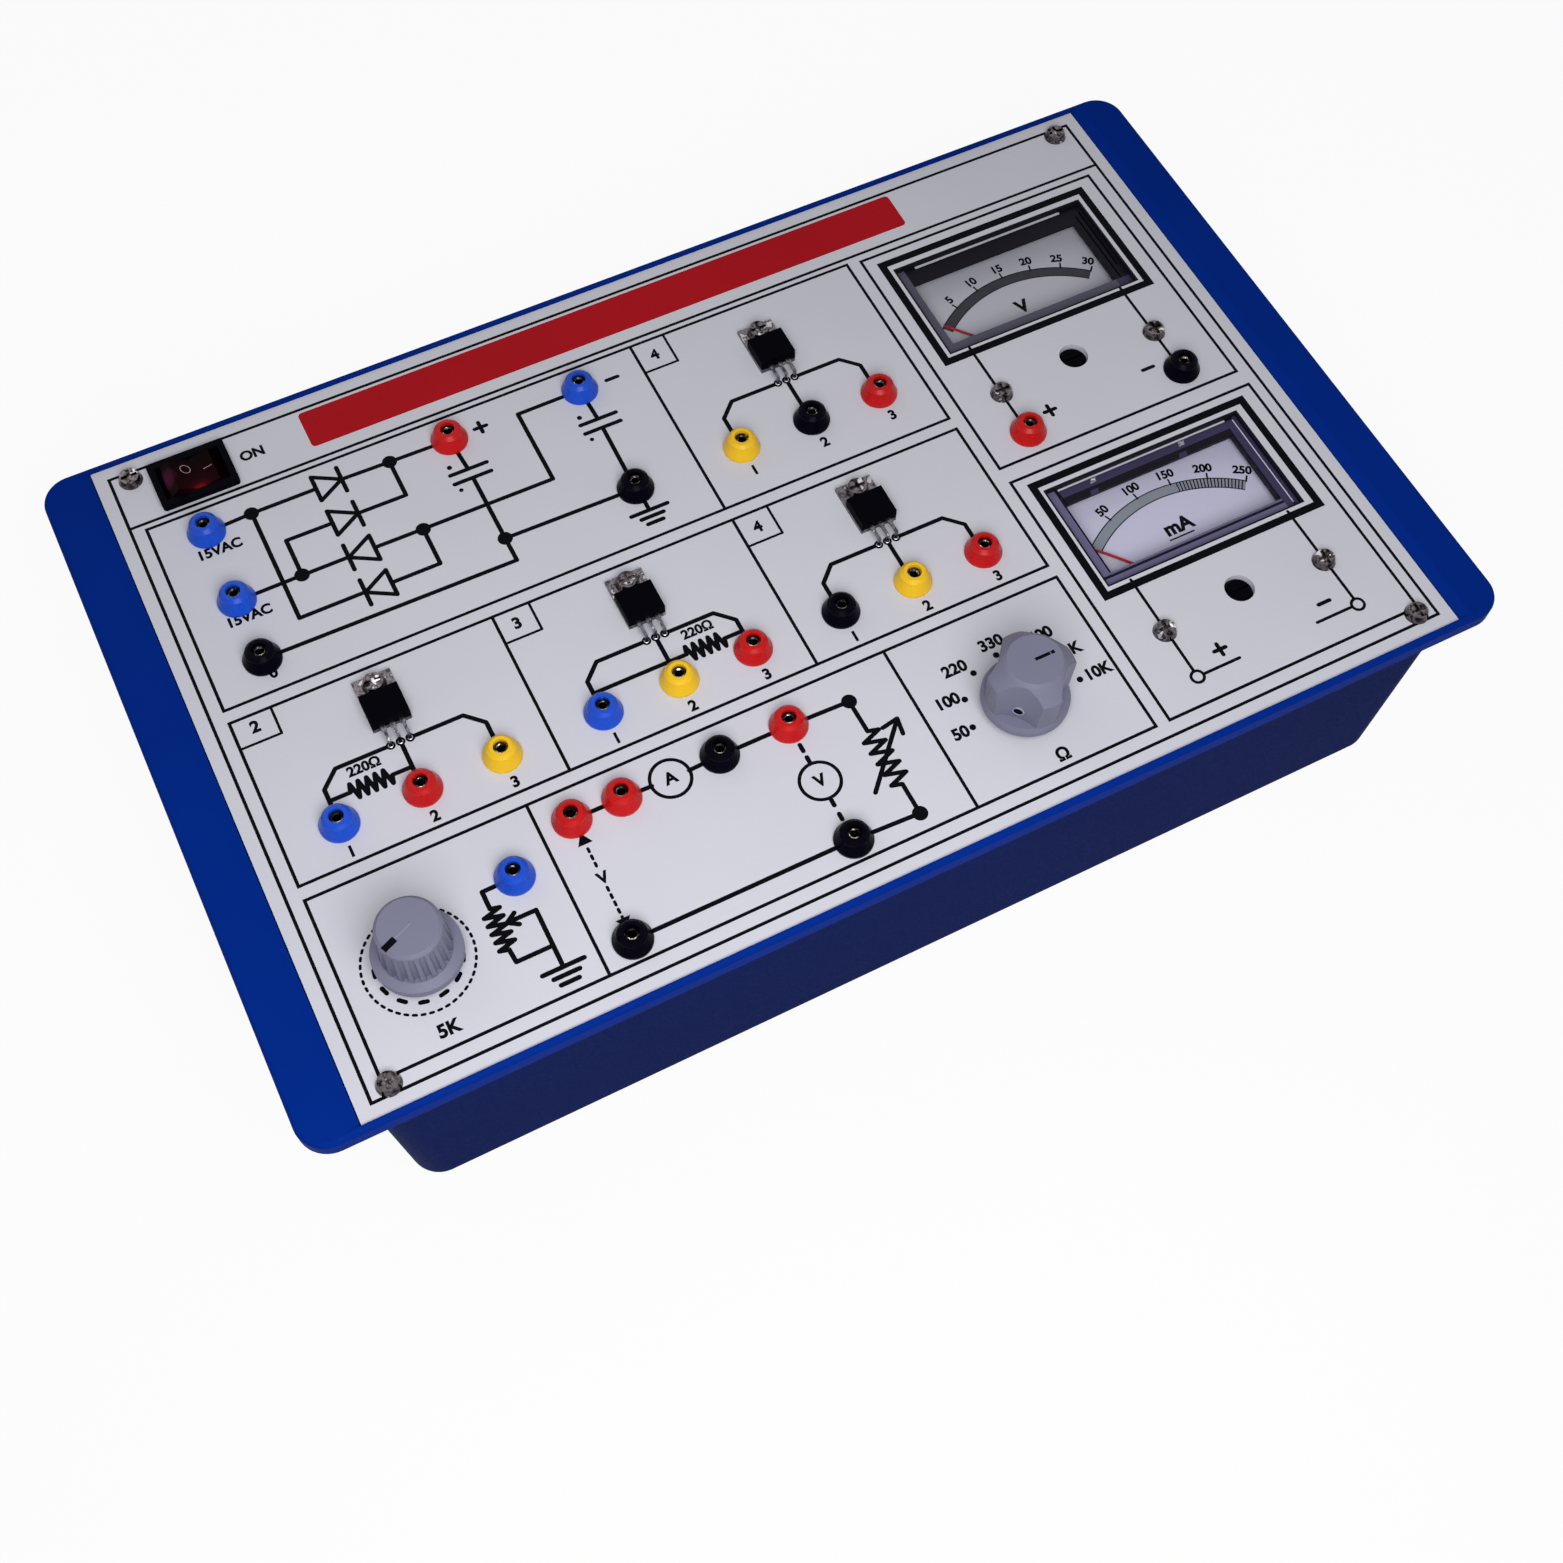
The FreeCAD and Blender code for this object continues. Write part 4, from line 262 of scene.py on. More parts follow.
def rocker_with_painted_light(name):
    """Dark red translucent plastic with a painted glow of its lamp near its front rim, in its
    colour and in its own light, and a painted highlight in violet on its left end.
    """
    material, tree, shader = new_material(name)
    shader.inputs["Specular IOR Level"].default_value = 0.015
    shader.inputs["Emission Strength"].default_value = 0.28
    # Painted light: the colour runs from bright red at the lamp's spot to near black away from it
    glow = distance_from(tree, *ROCKER_GLOW_SPOT, 12)
    body = ramp(tree, glow, (0.0, srgb(96, 8, 10)), (0.2, srgb(36, 2, 6)),
                (0.5, srgb(20, 1, 4)), (1.0, srgb(8, 1, 3)))
    # Painted highlight: violet on the rocker's left end
    end = distance_from(tree, *ROCKER_END_HIGHLIGHT, 7)
    violet = ramp(tree, end, (0.0, srgb(70, 20, 48)), (0.3, srgb(60, 14, 38)),
                  (0.5, srgb(0, 0, 0)))
    blend = tree.nodes.new("ShaderNodeMix")
    blend.data_type = "RGBA"
    blend.blend_type = "ADD"
    blend.inputs["Factor"].default_value = 1.0
    tree.links.new(body, blend.inputs["A"])
    tree.links.new(violet, blend.inputs["B"])
    tree.links.new(blend.outputs["Result"], shader.inputs["Base Color"])
    # Painted glow: the plastic itself gives off red light round the lamp's spot
    lit = ramp(tree, glow, (0.0, srgb(190, 24, 22)), (0.16, srgb(64, 2, 4)), (0.3, srgb(0, 0, 0)))
    tree.links.new(lit, shader.inputs["Emission Color"])
    fine = noise(tree, 1200)
    spread_value(tree, fine, shader.inputs["Roughness"], 0.14, 0.22)
    bump(tree, shader, fine, 0.004)
    return material


def dial_card(name):
    """Printed card, painted lighter and a shade more violet on the ammeter, which lies nearer the
    front: the lighter tone there is painted light.
    """
    material, tree, shader = new_material(name)
    shader.inputs["Specular IOR Level"].default_value = 0.1
    place = tree.nodes.new("ShaderNodeTexCoord")
    parts = tree.nodes.new("ShaderNodeSeparateXYZ")
    tree.links.new(place.outputs["Object"], parts.inputs["Vector"])
    side = tree.nodes.new("ShaderNodeMapRange")
    side.inputs["From Min"].default_value = 0.004
    side.inputs["From Max"].default_value = 0.012
    tree.links.new(parts.outputs["Y"], side.inputs["Value"])
    # Painted light: lighter card towards the front, where the ammeter lies
    tone = ramp(tree, side.outputs["Result"], (0.0, srgb(214, 212, 238)),
                (1.0, srgb(198, 198, 210)))
    tree.links.new(tone, shader.inputs["Base Color"])
    fine = noise(tree, 1800)
    spread_value(tree, fine, shader.inputs["Roughness"], 0.52, 0.72)
    bump(tree, shader, fine, 0.006)
    return material


# Dark, middle and pale tones of the painted reflections on the chrome screws
STEEL_REFLECTION_TONES = srgb(24, 21, 22), srgb(112, 106, 108), srgb(206, 200, 204)
MATERIALS = {
    "case": finish("case_moulded_navy", srgb(15, 30, 84), 0.5, 1500, 0.03, specular=0.004),
    "cover": finish("cover_moulded_blue", srgb(4, 42, 134), 0.46, 1500, 0.03, specular=0.008),
    "panel": finish("panel_painted", srgb(206, 206, 216), 0.5, 1100, 0.03, 0.02, specular=0.15),
    # Chrome, nickel, tab, rim, lead and clip metal carry painted reflections as dark and pale
    # patches
    "chrome": plating_with_painted_reflections("screw_chrome", *STEEL_REFLECTION_TONES, 420, 0.16, 0.12),
    "nickel": plating_with_painted_reflections("contact_nickel", srgb(16, 15, 20), srgb(60, 58, 64), srgb(190, 184, 170),
                      650, 0.2, 0.08),
    "tab": plating_with_painted_reflections("regulator_tab_metal", srgb(58, 55, 56), srgb(118, 114, 118),
                   srgb(178, 172, 176), 520, 0.3, 0.1),
    "zinc": finish("zinc_steel", srgb(150, 152, 158), 0.36, 1800, 0.01, 0.08, 1.0),
    "dark_steel": finish("set_screw_steel", srgb(30, 30, 36), 0.34, 1800, 0.01, 0.1, 1.0),
    "rubber": finish("foot_rubber", srgb(20, 20, 22), 0.82, 1600, 0.04, specular=0.1),
    "black_plastic": finish("black_plastic", srgb(4, 4, 10), 0.4, 1700, 0.02, specular=0.015),
    "red_socket": finish("red_socket_plastic", srgb(190, 14, 16), 0.3, 1400, 0.015, 0.08),
    "blue_socket": finish("blue_socket_plastic", srgb(22, 76, 200), 0.3, 1400, 0.015, 0.08),
    "yellow_socket": finish("yellow_socket_plastic", srgb(240, 192, 34), 0.32, 1400, 0.015, 0.06),
    "black_socket": finish("black_socket_plastic", srgb(4, 3, 14), 0.24, 1400, 0.015, 0.1,
                           specular=0.025),
    # Pale patches on the sockets' rims: painted glints
    "rim": plating_with_painted_reflections("socket_rim_metal", srgb(36, 33, 34), srgb(120, 114, 104), srgb(236, 230, 214),
                   800, 0.18, 0.05),
    "tinned": finish("tinned_metal", srgb(176, 176, 182), 0.26, 2400, 0.01, 0.14, 1.0, (1, 6, 1)),
    "lead": plating_with_painted_reflections("lead_metal", srgb(60, 58, 66), srgb(118, 116, 124), srgb(190, 188, 196),
                    700, 0.24, 0.04),
    "brass": finish("brass_turned", srgb(188, 158, 92), 0.3, 2200, 0.01, 0.1, 1.0),
    "knob": finish("knob_grey_plastic", srgb(118, 118, 140), 0.42, 1300, 0.02, 0.04),
    "package": finish("package_epoxy", srgb(4, 4, 9), 0.5, 2600, 0.03, specular=0.01),
    "dial": dial_card("dial_card"),
    "bezel": finish("meter_bezel_plastic", srgb(42, 40, 50), 0.36, 1500, 0.015, specular=0.04),
    # Violet: bands on the ammeter's cover, the voltmeter's thin lines of painted reflection, and
    # the ammeter clips' feet
    "violet": finish("meter_inner_violet", srgb(58, 52, 84), 0.3, 1500, 0.01, 0.12, specular=0.1),
    # Grey and violet of the sills along the windows' fronts, and painted shade in their strips on
    # the left
    "pale_violet": finish("meter_sill_violet", srgb(102, 97, 132), 0.3, 1500, 0.01, 0.06,
                          specular=0.1),
    "sill": finish("meter_sill_smoky", srgb(84, 82, 98), 0.3, 1500, 0.01, 0.12, specular=0.1),
    # Pale painted reflections on the meter covers
    "glint": finish("meter_edge_pale", srgb(206, 206, 218), 0.3, 1500, 0.01, 0.1, specular=0.2),
    # Black painted shade on the meter windows' walls and over their bezels
    "lining": finish("meter_lining_black", srgb(24, 22, 30), 0.4, 1500, 0.01, specular=0.05),
    # Pale patches on the ammeter's clips: painted glints
    "clip": plating_with_painted_reflections("meter_clip_metal", srgb(50, 48, 60), srgb(150, 148, 164), srgb(226, 226, 236),
                    500, 0.25, 0.04),
    "needle": finish("needle_red_paint", srgb(176, 40, 42), 0.4, 2000, 0.004, 0.06, specular=0.1),
    "board": finish("board_laminate", srgb(32, 92, 52), 0.45, 1200, 0.02, 0.1),
    "winding": finish("winding_copper", srgb(158, 84, 42), 0.4, 2600, 0.06, 0.16, 1.0, (1, 1, 6)),
    "core": finish("core_laminations", srgb(92, 92, 98), 0.5, 1400, 0.05, 0.12, 0.6, (1, 12, 1)),
    "aluminium": finish("aluminium", srgb(196, 198, 202), 0.34, 1800, 0.01, 0.06, 1.0),
    "capacitor": finish("capacitor_sleeve", srgb(24, 30, 66), 0.35, 1500, 0.01, 0.08),
    "resistor": finish("resistor_lacquer", srgb(196, 172, 128), 0.42, 1700, 0.02, 0.08),
    "magnet": finish("magnet_steel", srgb(86, 86, 92), 0.46, 1400, 0.02, 0.1, 0.7),
    "ink": finish("panel_ink", srgb(3, 3, 8), 0.6, 1500, 0.01, 0.2, specular=0.04),
    "banner": finish("banner_red_ink", srgb(170, 20, 30), 0.5, 1300, 0.015, 0.06, specular=0.06),
    "mark": finish("rocker_mark_paint", srgb(178, 140, 152), 0.5, 1500, 0.004, specular=0.05),
    # Pale line: a real moulding line on the pot knob, and a painted highlight round the load knob's
    # screw hole
    "scratch": finish("knob_moulding_line", srgb(152, 150, 172), 0.4, 1500, 0.004),
    "band": finish("scale_band_ink", srgb(70, 68, 77), 0.6, 1700, 0.004, 0.05, specular=0.04),
    "pale_band": finish("scale_band_pale_ink", srgb(148, 155, 168), 0.6, 1700, 0.004, 0.04,
                        specular=0.04),
    "clear": glassy("meter_cover_clear", srgb(44, 44, 52), 0.04, 0.05, 0.3),
    "glass": glassy("fuse_glass", srgb(226, 232, 232), 0.2, 0.05),
    "rocker": rocker_with_painted_light("rocker_lit_red"),
    "lamp": finish("lamp_glow", srgb(190, 60, 30), 0.3, 900, 0.005, 0.1),
}

NODE_FINISH = {
    "base_box": "case", "top_cover": "cover", "front_panel": "panel", "panel_screws": "chrome",
    "foot_screws": "zinc", "floor_screws": "zinc", "rubber_feet": "rubber",
    "rocker_housing": "black_plastic", "rocker_button": "rocker", "rocker_lamp": "lamp",
    "rocker_terminals": "tinned", "blue_sockets": "blue_socket", "red_sockets": "red_socket",
    "yellow_sockets": "yellow_socket", "black_sockets": "black_socket",
    "socket_contacts": "nickel", "socket_nuts": "zinc", "regulator_bodies": "package",
    "regulator_tabs": "tab", "regulator_leads": "lead", "regulator_screws": "chrome",
    "regulator_nuts": "zinc", "pot_case": "aluminium", "pot_nut": "zinc", "pot_track": "package",
    "pot_tags": "tinned", "pot_shaft": "aluminium", "pot_knob": "knob",
    "pot_set_screw": "dark_steel", "load_switch_case": "black_plastic", "load_switch_nut": "zinc",
    "load_switch_tags": "tinned", "load_shaft": "aluminium", "load_board": "board",
    "load_knob": "knob", "load_set_screw": "dark_steel", "fixed_resistors": "resistor",
    "meter_cases": "bezel", "meter_bezels": "bezel", "meter_covers": "clear",
    "meter_dials": "dial", "meter_magnets": "magnet", "meter_screws": "chrome",
    "meter_studs": "brass", "voltmeter_movement": "aluminium", "ammeter_movement": "aluminium",
    "voltmeter_needle": "needle", "ammeter_needle": "needle",
    "voltmeter_zero_screw": "black_plastic", "ammeter_zero_screw": "black_plastic",
    "transformer_core": "core", "transformer_winding": "winding", "transformer_strap": "zinc",
    "circuit_board": "board", "rectifier_diodes": "package", "filter_capacitors": "capacitor",
    "mains_inlet": "black_plastic", "inlet_pins": "tinned", "fuse_drawer": "black_plastic",
    "fuse_link": "glass",
}

for node_name, obj in frame["nodes"].items():
    obj.data.materials.clear()
    obj.data.materials.append(MATERIALS[NODE_FINISH[node_name]])


# Pieces
def place_mesh(mesh, name, material, body):
    """Makes a bmesh an object that rides on a body."""
    data = bpy.data.meshes.new(name)
    mesh.to_mesh(data)
    mesh.free()
    data.materials.append(MATERIALS[material])
    obj = bpy.data.objects.new(name, data)
    bpy.context.scene.collection.objects.link(obj)
    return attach(obj, body)


class Ink:
    """Flat printed shapes gathered into one thin mesh, in millimetres on a level."""

    def __init__(self, level):
        self.mesh = bmesh.new()
        self.level = level
        self.count = 0

    def face(self, points):
        """One filled outline; each lies a hair above the one before, so none share a plane."""
        area = sum(a[0] * b[1] - b[0] * a[1] for a, b in zip(points, points[1:] + points[:1]))
        z = self.level + LIFT + (self.count % STEPS_BEFORE_REPEAT) * STEP
        self.count += 1
        order = points if area > 0 else points[::-1]
        self.mesh.faces.new([self.mesh.verts.new((x * MM, y * MM, z)) for x, y in order])

    def disc(self, x, y, radius, sides=28):
        """A filled circle."""
        turn = 2 * math.pi / sides
        self.face([(x + radius * math.cos(k * turn), y + radius * math.sin(k * turn))
                   for k in range(sides)])

    def arc(self, x, y, inner, outer, start=0.0, end=360.0, steps=48):
        """A band between two radii, in short four-sided faces."""
        angles = [math.radians(start + (end - start) * k / steps) for k in range(steps + 1)]
        for a, b in zip(angles, angles[1:]):
            self.face([(x + r * math.cos(t), y + r * math.sin(t))
                       for r, t in ((inner, a), (outer, a), (outer, b), (inner, b))])

    def line(self, *points, width=WIRE, round_ends=True):
        """Straight strokes from point to point, rounded where they meet."""
        for (ax, ay), (bx, by) in zip(points, points[1:]):
            length = math.hypot(bx - ax, by - ay)
            nx, ny = (ay - by) / length * width / 2, (bx - ax) / length * width / 2
            self.face([(ax + nx, ay + ny), (ax - nx, ay - ny),
                       (bx - nx, by - ny), (bx + nx, by + ny)])
        joints = points if round_ends else points[1:-1]
        for x, y in joints:
            self.disc(x, y, width / 2, 14)

    def dashes(self, start, end, dash, gap, width=WIRE):
        """A broken stroke."""
        length = math.hypot(end[0] - start[0], end[1] - start[1])
        ux, uy = (end[0] - start[0]) / length, (end[1] - start[1]) / length
        at = 0.0
        while at < length:
            to = min(at + dash, length)
            self.line((start[0] + ux * at, start[1] + uy * at),
                      (start[0] + ux * to, start[1] + uy * to), width=width)
            at = to + gap

    def ring_dash(self, centre, radius, angle, length, width):
        """A short rounded stroke along a circle."""
        turn, half = math.radians(angle), length / 2
        x, y = centre[0] + radius * math.cos(turn), centre[1] + radius * math.sin(turn)
        dx, dy = -half * math.sin(turn), half * math.cos(turn)
        self.line((x - dx, y - dy), (x + dx, y + dy), width=width)

    def box(self, x0, y0, x1, y1, width=FRAME):
        """A rectangle's outline with square corners."""
        h = width / 2
        self.face([(x0 - h, y0 - h), (x1 + h, y0 - h), (x1 + h, y0 + h), (x0 - h, y0 + h)])
        self.face([(x0 - h, y1 - h), (x1 + h, y1 - h), (x1 + h, y1 + h), (x0 - h, y1 + h)])
        self.face([(x0 - h, y0), (x0 + h, y0), (x0 + h, y1), (x0 - h, y1)])
        self.face([(x1 - h, y0), (x1 + h, y0), (x1 + h, y1), (x1 - h, y1)])

    def place(self, name, material, body="housing"):
        """Makes the shapes one piece."""
        return place_mesh(self.mesh, name, material, body)


def slab(mesh, points, low, high):
    """A closed prism on an outline given anticlockwise, in millimetres between two levels."""
    bottom = [mesh.verts.new((x * MM, y * MM, low)) for x, y in points]
    top = [mesh.verts.new((x * MM, y * MM, high)) for x, y in points]
    mesh.faces.new(bottom[::-1])
    mesh.faces.new(top)
    for k in range(len(points)):
        nxt = (k + 1) % len(points)
        mesh.faces.new((bottom[k], bottom[nxt], top[nxt], top[k]))


def bar_outline(centre, angle, start, end, width):
    """The corners of a bar that runs outwards from a point at an angle."""
    turn = math.radians(angle)
    ux, uy = math.cos(turn), math.sin(turn)
    return [(centre[0] + ux * along - uy * side, centre[1] + uy * along + ux * side)
            for along, side in ((start, -width / 2), (end, -width / 2), (end, width / 2),
                                (start, width / 2))]


def lathe(mesh, x, y, z, profile, sides=20):
    """A ring turned about an upright axis from a closed profile of radius and height."""
    loops = []
    for k in range(sides):
        turn = 2 * math.pi * k / sides
        loops.append([mesh.verts.new(((x + r * math.cos(turn)) * MM, (y + r * math.sin(turn)) * MM,
                                      z + h * MM)) for r, h in profile])
    for k in range(sides):
        here, nxt = loops[k], loops[(k + 1) % sides]
        for i in range(len(profile)):
            j = (i + 1) % len(profile)
            mesh.faces.new((here[i], nxt[i], nxt[j], here[j]))


def word(name, text, x, y, height, level=PANEL, turn=0.0, weight=0.6):
    """A number, sign or unit, centred on a point and lying flat."""
    data = bpy.data.curves.new(name, "FONT")
    data.body = text
    data.size = height * MM / CAPITAL_SHARE
    data.align_x = "CENTER"
    data.align_y = "CENTER"
    data.offset = weight * height * STROKE_SHARE * MM
    data.extrude = 0.004 * MM
    data.materials.append(MATERIALS["ink"])
    obj = bpy.data.objects.new(name, data)
    obj.location = (x * MM, y * MM, level + LIFT)
    obj.rotation_euler = (0, 0, math.radians(turn))
    bpy.context.scene.collection.objects.link(obj)
    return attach(obj, "housing")


def along(centre, radius, angle):
    """The point at a radius and an angle in degrees from a centre."""
    turn = math.radians(angle)
    return centre[0] + radius * math.cos(turn), centre[1] + radius * math.sin(turn)


def zigzag(ink, start, end, swing=ZIGZAG_SWING):
    """A resistor's zigzag between two points."""
    (ax, ay), (bx, by) = start, end
    length = math.hypot(bx - ax, by - ay)
    ux, uy = (bx - ax) / length, (by - ay) / length
    steps = 2 * ZIGZAG_PEAKS
    points = [start]
    for k in range(steps):
        reach = (k + 0.5) / steps * length
        side = swing if k % 2 == 0 else -swing
        points.append((ax + ux * reach - uy * side, ay + uy * reach + ux * side))
    points.append(end)
    ink.line(*points)


def diode(ink, x, y, forward):
    """A diode's triangle and bar; forward points right."""
    size, height = DIODE
    tip, back = (x + size / 2, x - size / 2) if forward else (x - size / 2, x + size / 2)
    ink.line((back, y - height / 2), (back, y + height / 2), (tip, y), (back, y - height / 2))
    ink.line((tip, y - height / 2), (tip, y + height / 2))


def capacitor(ink, x, top, bottom):
    """A capacitor's two plates."""
    for y in (top, bottom):
        ink.line((x - PLATE_HALF, y), (x + PLATE_HALF, y))


def ground(ink, x, y, bars):
    """A ground sign's bars, from the widest down."""
    for k, half in enumerate(bars):
        ink.line((x - half, y - GROUND_STEP * k), (x + half, y - GROUND_STEP * k))


def resistor_between(ink, start, left, right, end):
    """A wire with a resistor's zigzag in it."""
    ink.line(start, left)
    zigzag(ink, left, right)
    ink.line(right, end)


# Frames and headers
ink = Ink(PANEL)
ink.box(-146.2, -94.3, 146.2, 94.2)
ink.line((-146.2, 77.0), (146.2, 77.0), width=FRAME, round_ends=False)
for low_x, low_y, high_x, high_y, dividers in (
        (-142.3, 15.3, 62.8, 75.0, (-4.6,)), (-142.3, -37.3, 62.9, 11.4, (-72.4, -4.4)),
        (-142.3, -90.2, 63.2, -41.3, (-85.7, 12.3)), (66.9, -5.2, 142.0, 74.3, ()),
        (67.2, -90.2, 142.6, -10.4, ())):
    ink.box(low_x, low_y, high_x, high_y)
    for x in dividers:
        ink.line((x, low_y), (x, high_y), width=FRAME, round_ends=False)
for low_x, low_y, high_x, high_y in ((71.6, 32.3, 136.9, 70.4), (71.8, -52.1, 137.8, -14.0)):
    ink.box(low_x, low_y, high_x, high_y, width=METER_FRAME)
for x, y, far_x, far_y in ((-142.3, 11.4, -131.6, 3.3), (-72.4, 11.4, -62.4, 2.6),
                           (-4.6, 75.0, 5.3, 65.0), (-4.4, 11.4, 5.6, 2.0)):
    ink.line((x, far_y), (far_x, far_y), (far_x, y), width=SECTION_FRAME)

# Bridge rectifier
ink.line(SOCKET["blue1"], (-116.3, 68.0), (-98.4, 68.0))
ink.line((-91.3, 68.0), (-78.0, 67.7), SOCKET["red1"])
ink.line((-116.2, 68.0), (-116.2, 32.5), (-98.4, 32.5))
ink.line((-91.3, 32.2), (-78.0, 32.2), (-78.0, 44.0))
ink.line(SOCKET["blue2"], (-111.1, 44.3), (-98.4, 44.3))
ink.line((-111.1, 44.3), (-111.1, 56.1), (-98.4, 56.0))
ink.line((-91.3, 56.0), (-78.0, 55.9), (-78.0, 67.7))
ink.line((-91.3, 44.1), (-78.0, 44.0), (-41.3, 43.8), (-41.3, 67.3), SOCKET["blue3"])
for y, forward in ((68.0, True), (56.0, True), (44.2, False), (32.4, False)):
    diode(ink, -94.9, y, forward)
for x, y in ((-116.3, 68.0), (-78.0, 67.7), (-111.1, 44.4), (-78.0, 43.9), (-60.0, 32.0)):
    ink.disc(x, y, JUNCTION)
ink.line(SOCKET["black1"], (-59.9, 24.5), (-60.0, 32.0), SOCKET["black2"])
ink.line(SOCKET["red1"], (-60.2, 56.5))
ink.line((-60.1, 53.4), (-60.0, 32.0))
ink.line(SOCKET["blue3"], (-22.6, 56.5))
ink.line((-22.6, 53.4), SOCKET["black2"])
for x in (-60.1, -22.5):
    capacitor(ink, x, 56.5, 53.4)
    ink.disc(x - 4.4, 59.0, 0.7, 14)
    ink.disc(x - 4.3, 51.0, 0.6, 14)
ink.line((-22.6, 28.7), (-22.6, 23.7))
ground(ink, -22.6, 23.7, GROUND_BARS)

# Regulator wiring: from the lead holes out and down to a socket on each side, and to one between
for (x, y), left, middle, right in zip(REGULATOR_HOLES, ("yellow1", "blue4", "blue5", "black4"),
                                       ("black3", "red3", "yellow3", "yellow4"),
                                       ("red2", "yellow2", "red4", "red5")):
    for side, key in ((-1, left), (1, right)):
        end = SOCKET[key]
        ink.line((x + side * LEAD_WIRE_START, y), (end[0] - side * LEAD_WIRE_SLANT[0], y),
                 (end[0], y - LEAD_WIRE_SLANT[1]), end)
    ink.line((x, y - MIDDLE_WIRE_DROP), SOCKET[middle])
    for k in (-1, 0, 1):
        ink.arc(x + LEAD_PITCH * k, y, *LEAD_RING, steps=18)
resistor_between(ink, (-127.7, -19.4), (-122.4, -19.4), (-111.6, -19.4), (-106.4, -19.4))
resistor_between(ink, (-58.4, -20.2), (-32.7, -20.2), (-22.1, -20.2), (-17.0, -20.2))

# Variable resistor
ink.line(SOCKET["blue6"], (-104.1, -57.7), (-104.1, -62.5))
zigzag(ink, (-104.1, -62.5), (-104.1, -73.9))
ink.line((-104.1, -73.9), (-103.8, -77.5), (-94.5, -77.5))
ink.line((-101.4, -67.5), (-94.5, -67.5), (-94.5, -83.4))
ink.line((-99.4, -65.9), (-101.9, -67.5), (-99.4, -69.1))
ground(ink, -94.5, -83.4, POT_GROUND_BARS)
for radius, count, first, dash, width in ((13.4, 43, 2, 0.75, 0.7), (10.4, 13, 6, 1.7, 1.1)):
    for k in range(count):
        ink.ring_dash(POT_RING, radius, 360 / count * k + first, dash, width)

# Test circuit
ink.line(SOCKET["red6"], SOCKET["red7"])
ink.line(SOCKET["red7"], (-56.3, -50.0))
ink.arc(-51.3, -50.1, *INSTRUMENT_RING)
ink.line((-46.3, -50.1), SOCKET["black5"], SOCKET["red8"], (-2.2, -50.3))
ink.disc(-2.2, -50.3, JUNCTION)
ink.disc(-1.1, -85.3, JUNCTION)
ink.line((-2.2, -50.3), (-2.0, -59.8))
zigzag(ink, (-1.9, -59.8), (-1.2, -76.4), 2.6)
ink.line((-1.2, -76.4), (-1.1, -85.3), SOCKET["black7"], SOCKET["black6"])
ink.line((-8.2, -75.6), (6.0, -60.2))
ink.line((1.8, -60.6), (6.3, -59.8), (5.6, -64.2), (6.3, -59.8))
ink.dashes((-18.8, -52.0), (-18.8, -61.4), 1.9, 1.9)
ink.arc(-18.8, -66.8, *INSTRUMENT_RING)
ink.dashes((-18.8, -72.6), (-18.8, -80.0), 1.6, 2.6)
ink.face([(-77.1, -53.8), (-79.0, -57.1), (-75.2, -57.1)])
ink.dashes((-77.1, -58.4), (-77.1, -64.4), 0.9, 1.2, width=ARROW)
ink.dashes((-77.1, -69.6), (-77.1, -78.4), 0.9, 1.2, width=ARROW)
ink.face([(-77.1, -81.1), (-75.2, -78.4), (-79.0, -78.4)])

# Load scale and meter leads
for angle in range(180, -1, -30):
    ink.disc(*along(LOAD_RING, LOAD_DOT_RADIUS, angle), 0.85, 18)
ink.line((79.6, 34.0), SOCKET["red9"], width=FRAME)
ink.line((128.4, 34.0), SOCKET["black8"], width=FRAME)
ink.line((80.1, -50.5), (80.2, -81.0), width=FRAME)
ink.line((128.8, -50.5), (129.1, -81.0), width=FRAME)
for x, side in ((80.2, 1), (129.1, -1)):
    ink.arc(x, -82.7, 1.3, 2.1, steps=28)
    ink.line((x + side * 1.8, -82.7), (x + side * 12.6, -82.7), width=FRAME)
for x, y, plus in ((88.8, 5.7, True), (120.5, 6.3, False), (89.6, -78.4, True),
                   (121.5, -78.4, False), (-52.0, 67.7, True), (-13.5, 67.3, False)):
    ink.line((x - SIGN_HALF, y), (x + SIGN_HALF, y), width=SIGN)
    if plus:
        ink.line((x, y - SIGN_HALF), (x, y + SIGN_HALF), width=SIGN)
ink.place("panel_print", "ink")

# Red banner, bare
banner = Ink(PANEL)
left, low, right, high = BANNER
banner.face([along(corner, BANNER_CORNER, start + 15 * k)
             for start, corner in ((0, (right, high)), (90, (left, high)),
                                   (180, (left, low)), (270, (right, low)))
             for k in range(7)])
banner.place("panel_banner", "banner")

